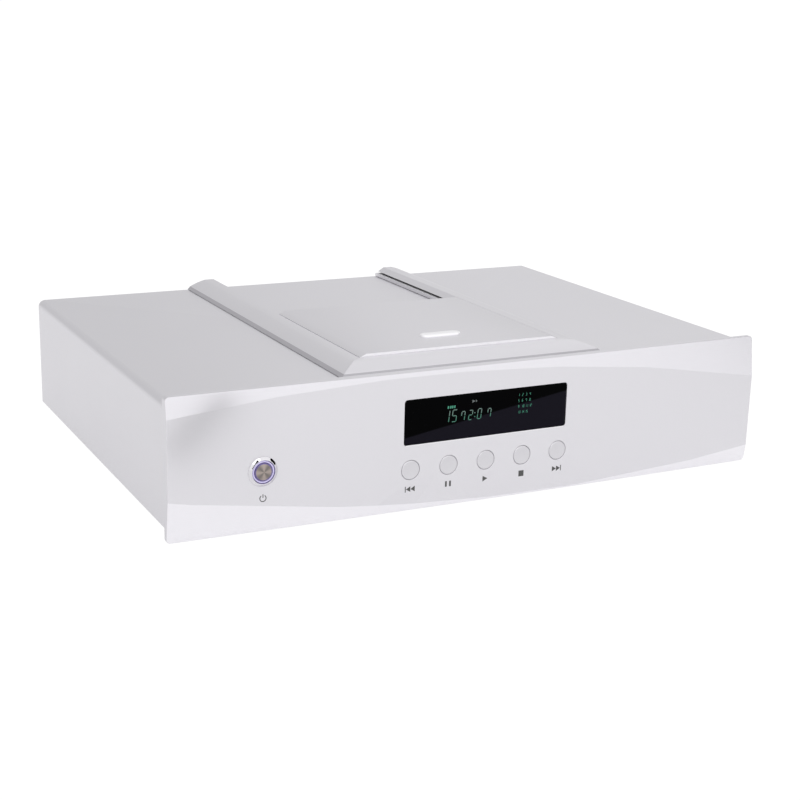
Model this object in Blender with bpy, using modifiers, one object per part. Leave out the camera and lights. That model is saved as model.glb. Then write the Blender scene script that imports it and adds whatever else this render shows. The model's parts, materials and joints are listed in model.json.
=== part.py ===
"""A table-top disc player whose lid slides back over a top-loading disc bay.

All lengths are in metres. X runs along the front panel, Y from the front to the back, Z up.
The origin lies on the table, under the middle of the whole box.
"""

import math

import bmesh
import bpy
from mathutils import Matrix

# Running gap left between pieces that touch, and how far a cutter runs past what it cuts
FIT_GAP = 0.0003
OVERRUN = 0.002

# Case
PANEL_WIDTH = 0.430
PANEL_HEIGHT = 0.091
PANEL_THICKNESS = 0.008
PANEL_CORNER_RADIUS = 0.0025
PANEL_SKIRT = 0.008
CASE_DEPTH = 0.308
COVER_SIDE_STEP = 0.001
COVER_TOP_STEP = 0.004
COVER_SHEET = 0.0015
COVER_EDGE_RADIUS = 0.005
STEEL_SHEET = 0.0012
BASE_WALL_HEIGHT = 0.016
BASE_BEND_RADIUS = 0.0025
REAR_INSET = 0.0023

# Faceplate: a flat field between two arcs, beyond which the front slopes back as two shallow cones
FACET_SLOPE = math.radians(8)
UPPER_ARC_RADIUS = 1.355
UPPER_CREST_X = -0.046
UPPER_CREST_DROP = 0.0026
LOWER_ARC_RADIUS = 1.298
LOWER_CREST_X = 0.0444
LOWER_CREST_RISE = 0.0008
PANEL_REAR_ROUNDING = 0.001

# Display window and the display behind it
WINDOW_WIDTH = 0.120
WINDOW_HEIGHT = 0.030
WINDOW_LIFT = 0.0435
WINDOW_CORNER_RADIUS = 0.002
WINDOW_SINK = 0.0003
WINDOW_FLANGE = 0.003
WINDOW_FLANGE_THICKNESS = 0.002
WINDOW_LIP = 0.003
DISPLAY_MARGIN = 0.004
DISPLAY_THICKNESS = 0.008
DISPLAY_EDGE_RADIUS = 0.0015

# Transport buttons
BUTTON_RADIUS = 0.00625
BUTTON_PITCH = 0.0274
BUTTON_LIFT = 0.0272
BUTTON_PROUD = 0.0002
BUTTON_EDGE = 0.0004
BUTTON_TRAVEL = 0.0012
BUTTON_LIP = 0.004
BUTTON_FLANGE_WIDTH = 0.0017
BUTTON_FLANGE_THICKNESS = 0.0015
BUTTON_STEM_RADIUS = 0.0025
SWITCH_SIDE = 0.006
SWITCH_HEIGHT = 0.0035
BOARD_THICKNESS = 0.0016
FRONT_BOARD_WIDTH = 0.190
FRONT_BOARD_DROP = 0.007
FRONT_BOARD_RISE = 0.004

# Power switch
POWER_FROM_LEFT = 0.060
POWER_LIFT = 0.0391
BEZEL_RADIUS = 0.0095
BEZEL_PROUD = 0.0015
BEZEL_EDGE = 0.0006
BEZEL_BARREL_RADIUS = 0.0082
BEZEL_BORE_RADIUS = 0.0073
BEZEL_BARREL_LENGTH = 0.016
HALO_WIDTH = 0.0009
HALO_LENGTH = 0.014
CAP_LENGTH = 0.007
CAP_EDGE = 0.0006
CAP_PROUD = 0.0002
CAP_STEM_RADIUS = 0.003
POWER_TRAVEL = 0.002
NUT_RADIUS = 0.0118
NUT_THICKNESS = 0.003
BLOCK_LENGTH = 0.0115
TERMINAL_WIDTH = 0.0028
TERMINAL_THICKNESS = 0.0008
TERMINAL_LENGTH = 0.006
TERMINAL_SPREAD = 0.003

# Feet
FOOT_RADIUS = 0.020
FOOT_HEIGHT = 0.0107
FOOT_EDGE = 0.0015
FOOT_FROM_SIDE = 0.0472
FOOT_INSET_FRONT = 0.055
FOOT_INSET_REAR = 0.038
PAD_RADIUS = 0.015
PAD_PROUD = 0.0012
PAD_THICKNESS = 0.0027
PAD_EDGE = 0.0004

# Raised frame on the cover, and the lid that runs in it
FRAME_HALF_WIDTH = 0.0965
FRAME_FRONT = 0.01485
FRAME_BAND = 0.0265
BAR_DEPTH = 0.0217
FRAME_STEP = 0.0025
FRAME_RISE = 0.007
FRAME_CHAMFER = 0.0022
FRAME_SLOPE = 0.0145
FRAME_BULGE = 0.0003
RAIL_BEVEL = 0.005
RAIL_LIP_WIDTH = 0.0025
GROOVE_DEPTH = 0.0043
GROOVE_LIFT = 0.0033
GROOVE_HEIGHT = 0.0023
LID_OVERLAP = 0.0013
LID_LENGTH = 0.136
LID_PLATE_THICKNESS = 0.00265
LID_PROUD = 0.0018
LID_EDGE = 0.0005
LID_CORNER_RADIUS = 0.001
GRIP_LENGTH = 0.030
GRIP_WIDTH = 0.009
GRIP_HEIGHT = 0.0011
GRIP_FROM_FRONT = 0.0305
GRIP_ROUNDING = 0.0008

# Disc bay
DISC_RADIUS = 0.060
DISC_THICKNESS = 0.0012
DISC_CLEARANCE = 0.002
BAY_MARGIN = 0.0028
BAY_FRONT_MARGIN = 0.00545
WELL_DEPTH = 0.0155
WELL_WALL = 0.002
WELL_FLANGE = 0.012
WELL_CORNER_RADIUS = 0.006
WELL_HUB_HOLE_RADIUS = 0.015
DISC_LIFT = 0.0055

# Turntable and clamp
HUB_RADIUS = 0.013
HUB_THICKNESS = 0.002
HUB_CONE_RADIUS = 0.0074
HUB_CONE_TOP_RADIUS = 0.0058
HUB_CONE_HEIGHT = 0.0025
HUB_STEM_RADIUS = 0.002
CLAMP_RADIUS = 0.0155
CLAMP_THICKNESS = 0.0045
CLAMP_KNOB_RADIUS = 0.008
CLAMP_KNOB_HEIGHT = 0.003
CLAMP_EDGE = 0.0008
SPINDLE_MOTOR_RADIUS = 0.012
SPINDLE_MOTOR_LENGTH = 0.0155
SPINDLE_HOLE_RADIUS = 0.005

# Transport plate, its rubber mounts and the two rods
PLATE_THICKNESS = 0.002
PLATE_DROP = 0.0015
PLATE_LEFT = 0.042
PLATE_RIGHT = 0.080
PLATE_FRONT = 0.058
PLATE_BACK = 0.038
PLATE_CORNER_RADIUS = 0.006
MOUNT_INSET = 0.008
POST_RADIUS = 0.0025
POST_LENGTH = 0.0075
DAMPER_RADIUS = 0.0055
DAMPER_NECK_RADIUS = 0.004
DAMPER_HEAD = 0.0009
DAMPER_FOOT = 0.0021
ROD_RADIUS = 0.0015
ROD_SPREAD = 0.0175
ROD_DROP = 0.005
ROD_START = 0.0105
ROD_END = 0.0755
LUG_THICKNESS = 0.003
LUG_WIDTH = 0.006
LUG_HEIGHT = 0.0068

# Optical pickup
PICKUP_START = 0.025
PICKUP_TRAVEL = 0.033
SLED_INNER = 0.009
SLED_OUTER = 0.012
SLED_HALF_WIDTH = 0.013
SLED_TOP_DROP = 0.0015
SLED_HEIGHT = 0.0085
SLED_ARM_WIDTH = 0.0078
SLED_ARM_HEIGHT = 0.007
TURRET_HALF_LENGTH = 0.0055
TURRET_HALF_WIDTH = 0.006
LENS_RADIUS = 0.0035
LENS_HEIGHT = 0.0022
LENS_GAP = 0.0015
LENS_HOUSING_DROP = 0.004
SLOT_MARGIN = 0.002
RACK_LIFT = 0.001
RACK_SEAT = 0.0006
RACK_RELIEF = 0.0001

# Rack and gears of the pickup drive
GEAR_MODULE = 0.001
RACK_HALF_LENGTH = 0.0215
RACK_BAR_WIDTH = 0.0022
RACK_HEIGHT = 0.004
PINION_TEETH = 12
WHEEL_TEETH = 28
MOTOR_PINION_TEETH = 10
ADDENDUM_SHARE = 0.75
DEDENDUM_SHARE = 1.15
TOOTH_TIP_SHARE = 0.24
TOOTH_ROOT_SHARE = 0.56
WHEEL_THICKNESS = 0.003
AXLE_RADIUS = 0.0015
AXLE_CLEARANCE = 0.0003
GEAR_BOSS_RADIUS = 0.003
SLED_MOTOR_RADIUS = 0.009
SLED_MOTOR_SHAFT_RADIUS = 0.0008
SLED_MOTOR_DIRECTION = math.radians(212)

# Electronics
STANDOFF_RADIUS = 0.003
STANDOFF_HEIGHT = 0.006
STANDOFF_INSET = 0.006
TRANSFORMER_RADIUS = 0.046
TRANSFORMER_BORE_RADIUS = 0.014
TRANSFORMER_HEIGHT = 0.038
TRANSFORMER_EDGE_RADIUS = 0.009
TRANSFORMER_FROM_SIDE = 0.0772
TRANSFORMER_FROM_REAR = 0.090
CLAMP_PLATE_RADIUS = 0.024
CLAMP_PLATE_THICKNESS = 0.002
CLAMP_BOLT_RADIUS = 0.003
CLAMP_HEAD_RADIUS = 0.006
CLAMP_HEAD_HEIGHT = 0.004
POWER_BOARD_LENGTH = 0.080
POWER_BOARD_WIDTH = 0.110
POWER_BOARD_FROM_SIDE = 0.0722
MAIN_BOARD_WIDTH = 0.190
MAIN_BOARD_LENGTH = 0.095
MAIN_BOARD_FROM_SIDE = 0.1122
MAIN_BOARD_FROM_REAR = 0.052
CAPACITOR_RADIUS = 0.011
CAPACITOR_HEIGHT = 0.032
CAPACITOR_EDGE = 0.0015
CAPACITOR_SPREAD = 0.014
CAPACITOR_OFFSET = 0.032
HEAT_SINK_LENGTH = 0.050
HEAT_SINK_HEIGHT = 0.030
HEAT_SINK_SPINE = 0.003
FIN_LENGTH = 0.009
FIN_THICKNESS = 0.0015
FIN_COUNT = 7
HEAT_SINK_OFFSET = 0.025

# Rear connectors
JACK_RADIUS = 0.00415
JACK_BORE_RADIUS = 0.0017
JACK_LENGTH = 0.009
JACK_COLLAR_RADIUS = 0.0065
JACK_COLLAR_THICKNESS = 0.0015
JACK_BLOCK_WIDTH = 0.012
JACK_BLOCK_LENGTH = 0.014
JACK_LIFT = 0.022
OUTPUT_JACK_FROM_SIDE = 0.0622
OUTPUT_JACK_PITCH = 0.024
DIGITAL_JACK_SPACING = 0.080
INLET_FROM_SIDE = 0.0472
INLET_LIFT = 0.033
INLET_WIDTH = 0.027
INLET_HEIGHT = 0.020
INLET_DEPTH = 0.022
INLET_FLANGE_WIDTH = 0.046
INLET_FLANGE_HEIGHT = 0.0235
INLET_FLANGE_THICKNESS = 0.0025
INLET_CORNER_RADIUS = 0.004
SOCKET_WIDTH = 0.024
SOCKET_HEIGHT = 0.016
SOCKET_DEPTH = 0.0165
SOCKET_CORNER_RADIUS = 0.003
PIN_WIDTH = 0.002
PIN_HEIGHT = 0.004
PIN_RECESS = 0.005
PIN_SPREAD = 0.007
PIN_RAISE = 0.002

# A bevel's share between a hollow and a full corner: the middle is round
ROUND_EDGE_SHARE = 0.5

# Facet counts
ROUND_STEPS = 24
SMALL_STEPS = 16
PIN_STEPS = 12
TINY_STEPS = 10
NUT_SIDES = 6
CONE_STEPS = 600
CORNER_STEPS = 4
CROWN_STEPS = 4
GRIP_STEPS = 3

# Heights
case_bottom = FOOT_HEIGHT + FIT_GAP
panel_bottom = case_bottom - PANEL_SKIRT
panel_top = panel_bottom + PANEL_HEIGHT
cover_top = panel_top - COVER_TOP_STEP
cover_ceiling = cover_top - COVER_SHEET
floor_top = case_bottom + STEEL_SHEET
frame_seat = cover_top + FIT_GAP
frame_top = cover_top + FRAME_RISE
lid_top = frame_top + LID_PROUD
window_bottom = panel_bottom + WINDOW_LIFT
window_middle = window_bottom + WINDOW_HEIGHT / 2
button_height = panel_bottom + BUTTON_LIFT
power_height = panel_bottom + POWER_LIFT

# Widths
panel_half = PANEL_WIDTH / 2
cover_half = panel_half - COVER_SIDE_STEP
chassis_half = cover_half - COVER_SHEET - FIT_GAP
power_x = POWER_FROM_LEFT - panel_half
foot_x = chassis_half - FOOT_FROM_SIDE
transformer_x = TRANSFORMER_FROM_SIDE - chassis_half
power_board_x = POWER_BOARD_FROM_SIDE - chassis_half
main_board_x = chassis_half - MAIN_BOARD_FROM_SIDE
output_jack_x = chassis_half - OUTPUT_JACK_FROM_SIDE
digital_jack_x = output_jack_x - DIGITAL_JACK_SPACING
inlet_x = INLET_FROM_SIDE - chassis_half

# Places along Y: the box's front is the power button's cap, its back the ends of the jacks
power_reach = FIT_GAP + BEZEL_PROUD + CAP_PROUD
rear_sheet_back = CASE_DEPTH - REAR_INSET
face_y = (power_reach - rear_sheet_back - JACK_LENGTH) / 2
panel_back = face_y + PANEL_THICKNESS
cover_front = panel_back + FIT_GAP
cover_back = face_y + CASE_DEPTH
sub_panel_back = cover_front + STEEL_SHEET
rear_outer = face_y + rear_sheet_back
rear_inner = rear_outer - STEEL_SHEET
base_front = sub_panel_back + FIT_GAP
base_back = rear_inner - FIT_GAP
power_seat_y = face_y - FIT_GAP

# Lid and frame
bar_front = face_y + FRAME_FRONT
bar_back = bar_front + BAR_DEPTH
lid_front = bar_back + FIT_GAP
lid_back = lid_front + LID_LENGTH
rail_inner = FRAME_HALF_WIDTH - FRAME_BAND
lid_half = rail_inner + LID_OVERLAP
groove_low = cover_top + GROOVE_LIFT
groove_high = groove_low + GROOVE_HEIGHT
lid_plate_low = lid_top - LID_PLATE_THICKNESS
carrier_low = groove_low + FIT_GAP
carrier_high = lid_plate_low - FIT_GAP
tongue_high = groove_high - FIT_GAP
tongue_half = rail_inner + GROOVE_DEPTH - FIT_GAP
deck_half = rail_inner - FIT_GAP

# Disc bay and turntable
well_radius = DISC_RADIUS + DISC_CLEARANCE
spindle_y = bar_back + BAY_FRONT_MARGIN + DISC_RADIUS
well_rim = cover_ceiling - FIT_GAP
well_floor = cover_top - WELL_DEPTH
well_under = well_floor - WELL_WALL
well_half_x = well_radius + WELL_WALL + WELL_FLANGE
well_half_y = well_radius + WELL_WALL
bay_half_x = rail_inner - RAIL_LIP_WIDTH - BAY_MARGIN
disc_plane = well_floor + DISC_LIFT

# Transport plate
plate_top = well_under - PLATE_DROP
plate_low = plate_top - PLATE_THICKNESS
rod_height = plate_low - ROD_DROP
mount_left = MOUNT_INSET - PLATE_LEFT
mount_right = PLATE_RIGHT - MOUNT_INSET
mount_front = MOUNT_INSET - PLATE_FRONT
mount_back = PLATE_BACK - MOUNT_INSET
mount_places = [(x, y) for x in (mount_left, mount_right) for y in (mount_front, mount_back)]

# Pickup and its gears
sled_top = plate_low - SLED_TOP_DROP
sled_low = sled_top - SLED_HEIGHT
arm_low = sled_top - SLED_ARM_HEIGHT
turret_top = disc_plane - LENS_HOUSING_DROP
lens_top = disc_plane - LENS_GAP
sled_side = SLED_HALF_WIDTH + SLED_ARM_WIDTH
rack_low = sled_low + RACK_LIFT
rack_high = rack_low + RACK_HEIGHT
rack_back = -sled_side
rack_root = rack_back - RACK_BAR_WIDTH
rack_pitch_line = rack_root - DEDENDUM_SHARE * GEAR_MODULE
pinion_pitch_radius = PINION_TEETH * GEAR_MODULE / 2
wheel_pitch_radius = WHEEL_TEETH * GEAR_MODULE / 2
motor_pinion_pitch_radius = MOTOR_PINION_TEETH * GEAR_MODULE / 2
gear_x = PICKUP_START + PICKUP_TRAVEL / 2
gear_y = rack_pitch_line - pinion_pitch_radius
gear_centres = wheel_pitch_radius + motor_pinion_pitch_radius
sled_motor_x = gear_x + gear_centres * math.cos(SLED_MOTOR_DIRECTION)
sled_motor_y = gear_y + gear_centres * math.sin(SLED_MOTOR_DIRECTION)
wheel_high = sled_low - FIT_GAP
wheel_low = wheel_high - WHEEL_THICKNESS
axle_low = wheel_low - FIT_GAP

# Front board and display
display_front = face_y + WINDOW_LIP + FIT_GAP + WINDOW_FLANGE_THICKNESS + FIT_GAP
display_back = display_front + DISPLAY_THICKNESS
front_board_face = display_back + FIT_GAP
switch_face = front_board_face - SWITCH_HEIGHT
front_board_low = button_height - SWITCH_SIDE / 2 - FRONT_BOARD_DROP
front_board_high = window_bottom + WINDOW_HEIGHT + FRONT_BOARD_RISE

# Boards and what stands on them
board_seat = floor_top + STANDOFF_HEIGHT + FIT_GAP
board_top = board_seat + BOARD_THICKNESS
main_board_y = rear_inner - MAIN_BOARD_FROM_REAR
transformer_y = rear_outer - TRANSFORMER_FROM_REAR
power_board_y = (front_board_face + BOARD_THICKNESS + transformer_y - TRANSFORMER_RADIUS) / 2
transformer_low = floor_top + FIT_GAP
transformer_high = transformer_low + TRANSFORMER_HEIGHT
jack_height = board_top + JACK_LIFT
inlet_height = floor_top + INLET_LIFT

# Clear radii
button_bore = BUTTON_RADIUS + FIT_GAP
button_flange_radius = BUTTON_RADIUS + BUTTON_FLANGE_WIDTH
button_counterbore = button_flange_radius + FIT_GAP
barrel_bore = BEZEL_BARREL_RADIUS + FIT_GAP
halo_radius = BEZEL_BORE_RADIUS - FIT_GAP
halo_bore = halo_radius - HALO_WIDTH
cap_radius = halo_bore - FIT_GAP

TRANSPORT_BUTTONS = ("previous_button", "pause_button", "play_button", "stop_button", "next_button")


# Scene and materials

def clear_scene():
    for obj in list(bpy.data.objects):
        bpy.data.objects.remove(obj, do_unlink=True)


def add_collection(name):
    collection = bpy.data.collections.new(name)
    bpy.context.scene.collection.children.link(collection)
    return collection


def new_material(name, colour, roughness, metallic=0.0, glow=None):
    material = bpy.data.materials.new(name)
    material.use_nodes = True
    shader = material.node_tree.nodes["Principled BSDF"]
    shader.inputs["Base Color"].default_value = (*colour, 1.0)
    shader.inputs["Roughness"].default_value = roughness
    shader.inputs["Metallic"].default_value = metallic
    if glow:
        shader.inputs["Emission Color"].default_value = (*glow, 1.0)
        shader.inputs["Emission Strength"].default_value = 1.0
    material.diffuse_color = (*colour, 1.0)
    return material


def make_materials():
    return {
        "satin_aluminium": new_material("satin_aluminium", (0.74, 0.74, 0.76), 0.38, 1.0),
        "polished_aluminium": new_material("polished_aluminium", (0.80, 0.80, 0.82), 0.20, 1.0),
        "chrome": new_material("chrome", (0.86, 0.86, 0.88), 0.08, 1.0),
        "window_black": new_material("window_black", (0.010, 0.010, 0.012), 0.06),
        "display_glass": new_material("display_glass", (0.02, 0.06, 0.06), 0.15),
        "halo_light": new_material("halo_light", (0.55, 0.48, 0.85), 0.30, 0.0, (0.45, 0.35, 0.95)),
        "board_green": new_material("board_green", (0.05, 0.22, 0.10), 0.45),
        "zinc_steel": new_material("zinc_steel", (0.62, 0.63, 0.65), 0.42, 1.0),
        "rubber_black": new_material("rubber_black", (0.025, 0.025, 0.027), 0.85),
        "bay_grey": new_material("bay_grey", (0.10, 0.10, 0.11), 0.55),
        "black_plastic": new_material("black_plastic", (0.03, 0.03, 0.035), 0.45),
        "gear_white": new_material("gear_white", (0.80, 0.79, 0.74), 0.50),
        "lens_glass": new_material("lens_glass", (0.12, 0.16, 0.30), 0.05),
        "polished_steel": new_material("polished_steel", (0.75, 0.75, 0.77), 0.15, 1.0),
        "winding_tape": new_material("winding_tape", (0.75, 0.60, 0.10), 0.35),
        "capacitor_sleeve": new_material("capacitor_sleeve", (0.04, 0.05, 0.12), 0.35),
        "black_anodised": new_material("black_anodised", (0.03, 0.03, 0.03), 0.50, 0.8),
        "gold_plate": new_material("gold_plate", (0.83, 0.64, 0.28), 0.20, 1.0),
    }


# Building blocks

def object_from_bmesh(name, bm):
    mesh = bpy.data.meshes.new(name)
    bm.to_mesh(mesh)
    bm.free()
    return bpy.data.objects.new(name, mesh)


def box(name, low, high):
    """A plain box between two opposite corners."""
    bm = bmesh.new()
    bmesh.ops.create_cube(bm, size=1.0)
    size = [b - a for a, b in zip(low, high)]
    middle = [(a + b) / 2 for a, b in zip(low, high)]
    bmesh.ops.scale(bm, vec=size, verts=bm.verts)
    bmesh.ops.translate(bm, vec=middle, verts=bm.verts)
    return object_from_bmesh(name, bm)


def rounded_box(name, low, high, axis, radius, segments=CORNER_STEPS):
    """A box whose four edges along one axis (0, 1 or 2) are rounded."""
    obj = box(name, low, high)
    bm = bmesh.new()
    bm.from_mesh(obj.data)
    edges = [e for e in bm.edges if abs(e.verts[1].co[axis] - e.verts[0].co[axis]) > FIT_GAP / 2]
    bmesh.ops.bevel(bm, geom=edges, offset=radius, segments=segments, profile=ROUND_EDGE_SHARE, affect="EDGES")
    bm.to_mesh(obj.data)
    bm.free()
    return obj


def soften(obj, axis, level, radius, segments):
    """Rounds every edge that lies in the plane at one level along an axis."""
    bm = bmesh.new()
    bm.from_mesh(obj.data)
    edges = [e for e in bm.edges if all(abs(v.co[axis] - level) < FIT_GAP / 10 for v in e.verts)]
    bmesh.ops.bevel(bm, geom=edges, offset=radius, segments=segments, profile=ROUND_EDGE_SHARE, affect="EDGES")
    bm.to_mesh(obj.data)
    bm.free()
    return obj


def along(axis):
    """The turn that lays a shape's own Z along an axis of the part, such as '+Y'."""
    turns = {"+Z": Matrix.Identity(4), "+Y": Matrix.Rotation(-math.pi / 2, 4, "X"),
             "-Y": Matrix.Rotation(math.pi / 2, 4, "X"), "+X": Matrix.Rotation(math.pi / 2, 4, "Y")}
    return turns[axis]


def cone(name, start_radius, end_radius, start, length, axis, steps):
    """A cone's frustum from a start point along an axis."""
    bm = bmesh.new()
    bmesh.ops.create_cone(bm, cap_ends=True, segments=steps, radius1=start_radius, radius2=end_radius,
                          depth=length, matrix=Matrix.Translation((0, 0, length / 2)))
    obj = object_from_bmesh(name, bm)
    obj.data.transform(Matrix.Translation(start) @ along(axis))
    return obj


def cylinder(name, radius, start, length, axis="+Z", steps=SMALL_STEPS):
    """A cylinder from a start point along an axis."""
    return cone(name, radius, radius, start, length, axis, steps)


def turned(name, profile, place, axis="+Z", steps=ROUND_STEPS):
    """A turned solid. The profile is (radius, height) points, down the outer side and up the inner one."""
    closed = profile[0][0] > 0
    mesh = bpy.data.meshes.new(name)
    edges = [(i, i + 1) for i in range(len(profile) - 1)]
    if closed:
        edges.append((len(profile) - 1, 0))
    mesh.from_pydata([(r, 0.0, z) for r, z in profile], edges, [])
    obj = bpy.data.objects.new(name, mesh)
    screw = obj.modifiers.new("Turn", "SCREW")
    screw.axis = "Z"
    screw.angle = 2 * math.pi
    screw.steps = steps
    screw.render_steps = steps
    screw.use_merge_vertices = True
    screw.merge_threshold = FIT_GAP / 10
    obj.matrix_world = Matrix.Translation(place) @ along(axis)
    return obj


def profile_solid(name, loops, start, depth, axis="+Z"):
    """A flat outline, holes included, given as loops of points and made thick along an axis."""
    curve = bpy.data.curves.new(name, "CURVE")
    curve.dimensions = "2D"
    curve.fill_mode = "BOTH"
    curve.extrude = depth / 2
    for loop in loops:
        spline = curve.splines.new("POLY")
        spline.points.add(len(loop) - 1)
        for point, (x, y) in zip(spline.points, loop):
            point.co = (x, y, 0.0, 1.0)
        spline.use_cyclic_u = True
    outline = bpy.data.objects.new(name + "_outline", curve)
    outline.matrix_world = Matrix.Translation(start) @ along(axis) @ Matrix.Translation((0, 0, depth / 2))
    bpy.context.scene.collection.objects.link(outline)
    graph = bpy.context.evaluated_depsgraph_get()
    mesh = bpy.data.meshes.new_from_object(outline.evaluated_get(graph))
    bm = bmesh.new()
    bm.from_mesh(mesh)
    bmesh.ops.remove_doubles(bm, verts=bm.verts, dist=FIT_GAP / 100)
    bmesh.ops.recalc_face_normals(bm, faces=bm.faces)
    bm.to_mesh(mesh)
    bm.free()
    obj = bpy.data.objects.new(name, mesh)
    obj.matrix_world = outline.matrix_world.copy()
    bpy.data.objects.remove(outline, do_unlink=True)
    return obj


def bent_sheet(name, path, start_y, end_y, thickness):
    """Sheet metal: a path of (x, z) points carried along Y, its thickness laid on the path's left side."""
    bm = bmesh.new()
    front = [bm.verts.new((x, start_y, z)) for x, z in path]
    back = [bm.verts.new((x, end_y, z)) for x, z in path]
    for i in range(len(path) - 1):
        bm.faces.new((front[i], front[i + 1], back[i + 1], back[i]))
    obj = object_from_bmesh(name, bm)
    solidify = obj.modifiers.new("Sheet", "SOLIDIFY")
    solidify.thickness = thickness
    solidify.offset = -1.0
    solidify.use_even_offset = True
    return obj


def arc(centre, radius, start, end, steps):
    """Points on an arc from one angle to another, in degrees."""
    angles = [math.radians(start + (end - start) * i / steps) for i in range(steps + 1)]
    return [(centre[0] + radius * math.cos(a), centre[1] + radius * math.sin(a)) for a in angles]


class Workshop:
    """Holds the collections and materials, and puts each finished piece in its place."""

    def __init__(self):
        self.parts = add_collection("cd_player")
        self.tools = add_collection("cutters")
        self.materials = make_materials()

    def add(self, obj, material, origin=None):
        """A finished piece, its origin moved to a point where one is given."""
        self.parts.objects.link(obj)
        if origin is not None:
            bpy.context.view_layer.update()
            place = Matrix.Translation(origin)
            obj.data.transform(place.inverted() @ obj.matrix_world)
            obj.matrix_world = place
        obj.data.materials.clear()
        obj.data.materials.append(self.materials[material])
        obj.data.shade_smooth()
        obj.data.set_sharp_from_angle(angle=math.radians(30))
        return obj

    def apply_tool(self, target, tool, operation):
        self.tools.objects.link(tool)
        tool.hide_render = True
        tool.display_type = "WIRE"
        modifier = target.modifiers.new(tool.name, "BOOLEAN")
        modifier.operation = operation
        modifier.solver = "EXACT"
        modifier.object = tool

    def cut(self, target, *tools):
        for tool in tools:
            self.apply_tool(target, tool, "DIFFERENCE")

    def join(self, target, *tools):
        for tool in tools:
            self.apply_tool(target, tool, "UNION")

    def keep(self, target, tool):
        self.apply_tool(target, tool, "INTERSECT")


# Faceplate

def facet_cone(name, radius, crest_x, crest_z, below):
    """The cone that keeps what lies inside an arc on the face and slopes back beyond it."""
    spread = math.tan(FACET_SLOPE)
    centre_z = crest_z - radius if below else crest_z + radius
    front = radius - OVERRUN / spread
    back = radius + (PANEL_THICKNESS + OVERRUN) / spread
    return cone(name, front, back, (crest_x, face_y - OVERRUN, centre_z), PANEL_THICKNESS + 2 * OVERRUN, "+Y",
                CONE_STEPS)


def build_front_panel(shop):
    panel = rounded_box("front_panel", (-panel_half, face_y, panel_bottom), (panel_half, panel_back, panel_top),
                        1, PANEL_CORNER_RADIUS)
    soften(panel, 1, panel_back, PANEL_REAR_ROUNDING, 2)
    shop.keep(panel, facet_cone("upper_facet", UPPER_ARC_RADIUS, UPPER_CREST_X, panel_top - UPPER_CREST_DROP,
                                True))
    shop.keep(panel, facet_cone("lower_facet", LOWER_ARC_RADIUS, LOWER_CREST_X,
                                panel_bottom + LOWER_CREST_RISE, False))
    lip_back = face_y + WINDOW_LIP
    shop.cut(panel, rounded_box("window_opening", (-WINDOW_WIDTH / 2, face_y - OVERRUN, window_bottom),
                                (WINDOW_WIDTH / 2, panel_back + OVERRUN, window_bottom + WINDOW_HEIGHT),
                                1, WINDOW_CORNER_RADIUS))
    reach = WINDOW_FLANGE + FIT_GAP
    shop.cut(panel, rounded_box("window_rebate", (-WINDOW_WIDTH / 2 - reach, lip_back, window_bottom - reach),
                                (WINDOW_WIDTH / 2 + reach, panel_back + OVERRUN,
                                 window_bottom + WINDOW_HEIGHT + reach), 1, WINDOW_CORNER_RADIUS))
    for name, x in button_places():
        length = PANEL_THICKNESS + 2 * OVERRUN
        shoulder = face_y + BUTTON_LIP
        shop.cut(panel, cylinder(name + "_bore", button_bore, (x, face_y - OVERRUN, button_height), length,
                                 "+Y", ROUND_STEPS))
        shop.cut(panel, cylinder(name + "_counterbore", button_counterbore, (x, shoulder, button_height),
                                 panel_back + OVERRUN - shoulder, "+Y"))
    shop.cut(panel, cylinder("power_bore", barrel_bore, (power_x, face_y - OVERRUN, power_height),
                             PANEL_THICKNESS + 2 * OVERRUN, "+Y"))
    shop.add(panel, "satin_aluminium")


def build_display(shop):
    low, high = window_bottom + FIT_GAP, window_bottom + WINDOW_HEIGHT - FIT_GAP
    half = WINDOW_WIDTH / 2 - FIT_GAP
    flange_front = face_y + WINDOW_LIP + FIT_GAP
    flange_back = flange_front + WINDOW_FLANGE_THICKNESS
    window = rounded_box("display_window", (-half, face_y + WINDOW_SINK, low), (half, flange_back, high),
                         1, WINDOW_CORNER_RADIUS)
    shop.join(window, rounded_box("window_flange", (-half - WINDOW_FLANGE, flange_front, low - WINDOW_FLANGE),
                                  (half + WINDOW_FLANGE, flange_back, high + WINDOW_FLANGE),
                                  1, WINDOW_CORNER_RADIUS))
    shop.add(window, "window_black")
    half = WINDOW_WIDTH / 2 - DISPLAY_MARGIN
    low, high = window_bottom + DISPLAY_MARGIN / 2, window_bottom + WINDOW_HEIGHT - DISPLAY_MARGIN / 2
    display = rounded_box("display_module", (-half, display_front, low), (half, display_back, high),
                          1, DISPLAY_EDGE_RADIUS)
    shop.add(display, "display_glass")


def button_places():
    """Each transport button's name and its X."""
    middle = (len(TRANSPORT_BUTTONS) - 1) / 2
    return [(name, (i - middle) * BUTTON_PITCH) for i, name in enumerate(TRANSPORT_BUTTONS)]


def build_buttons(shop):
    shoulder = face_y + BUTTON_LIP + FIT_GAP
    stem_end = switch_face - BUTTON_TRAVEL - FIT_GAP
    front = face_y - BUTTON_PROUD
    flange = front - shoulder
    for name, x in button_places():
        profile = [(0.0, 0.0), (BUTTON_RADIUS - BUTTON_EDGE, 0.0), (BUTTON_RADIUS, -BUTTON_EDGE),
                   (BUTTON_RADIUS, flange), (button_flange_radius, flange),
                   (button_flange_radius, flange - BUTTON_FLANGE_THICKNESS),
                   (BUTTON_STEM_RADIUS, flange - BUTTON_FLANGE_THICKNESS),
                   (BUTTON_STEM_RADIUS, front - stem_end), (0.0, front - stem_end)]
        shop.add(turned(name, profile, (x, front, button_height), "-Y", ROUND_STEPS), "polished_aluminium")


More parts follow.
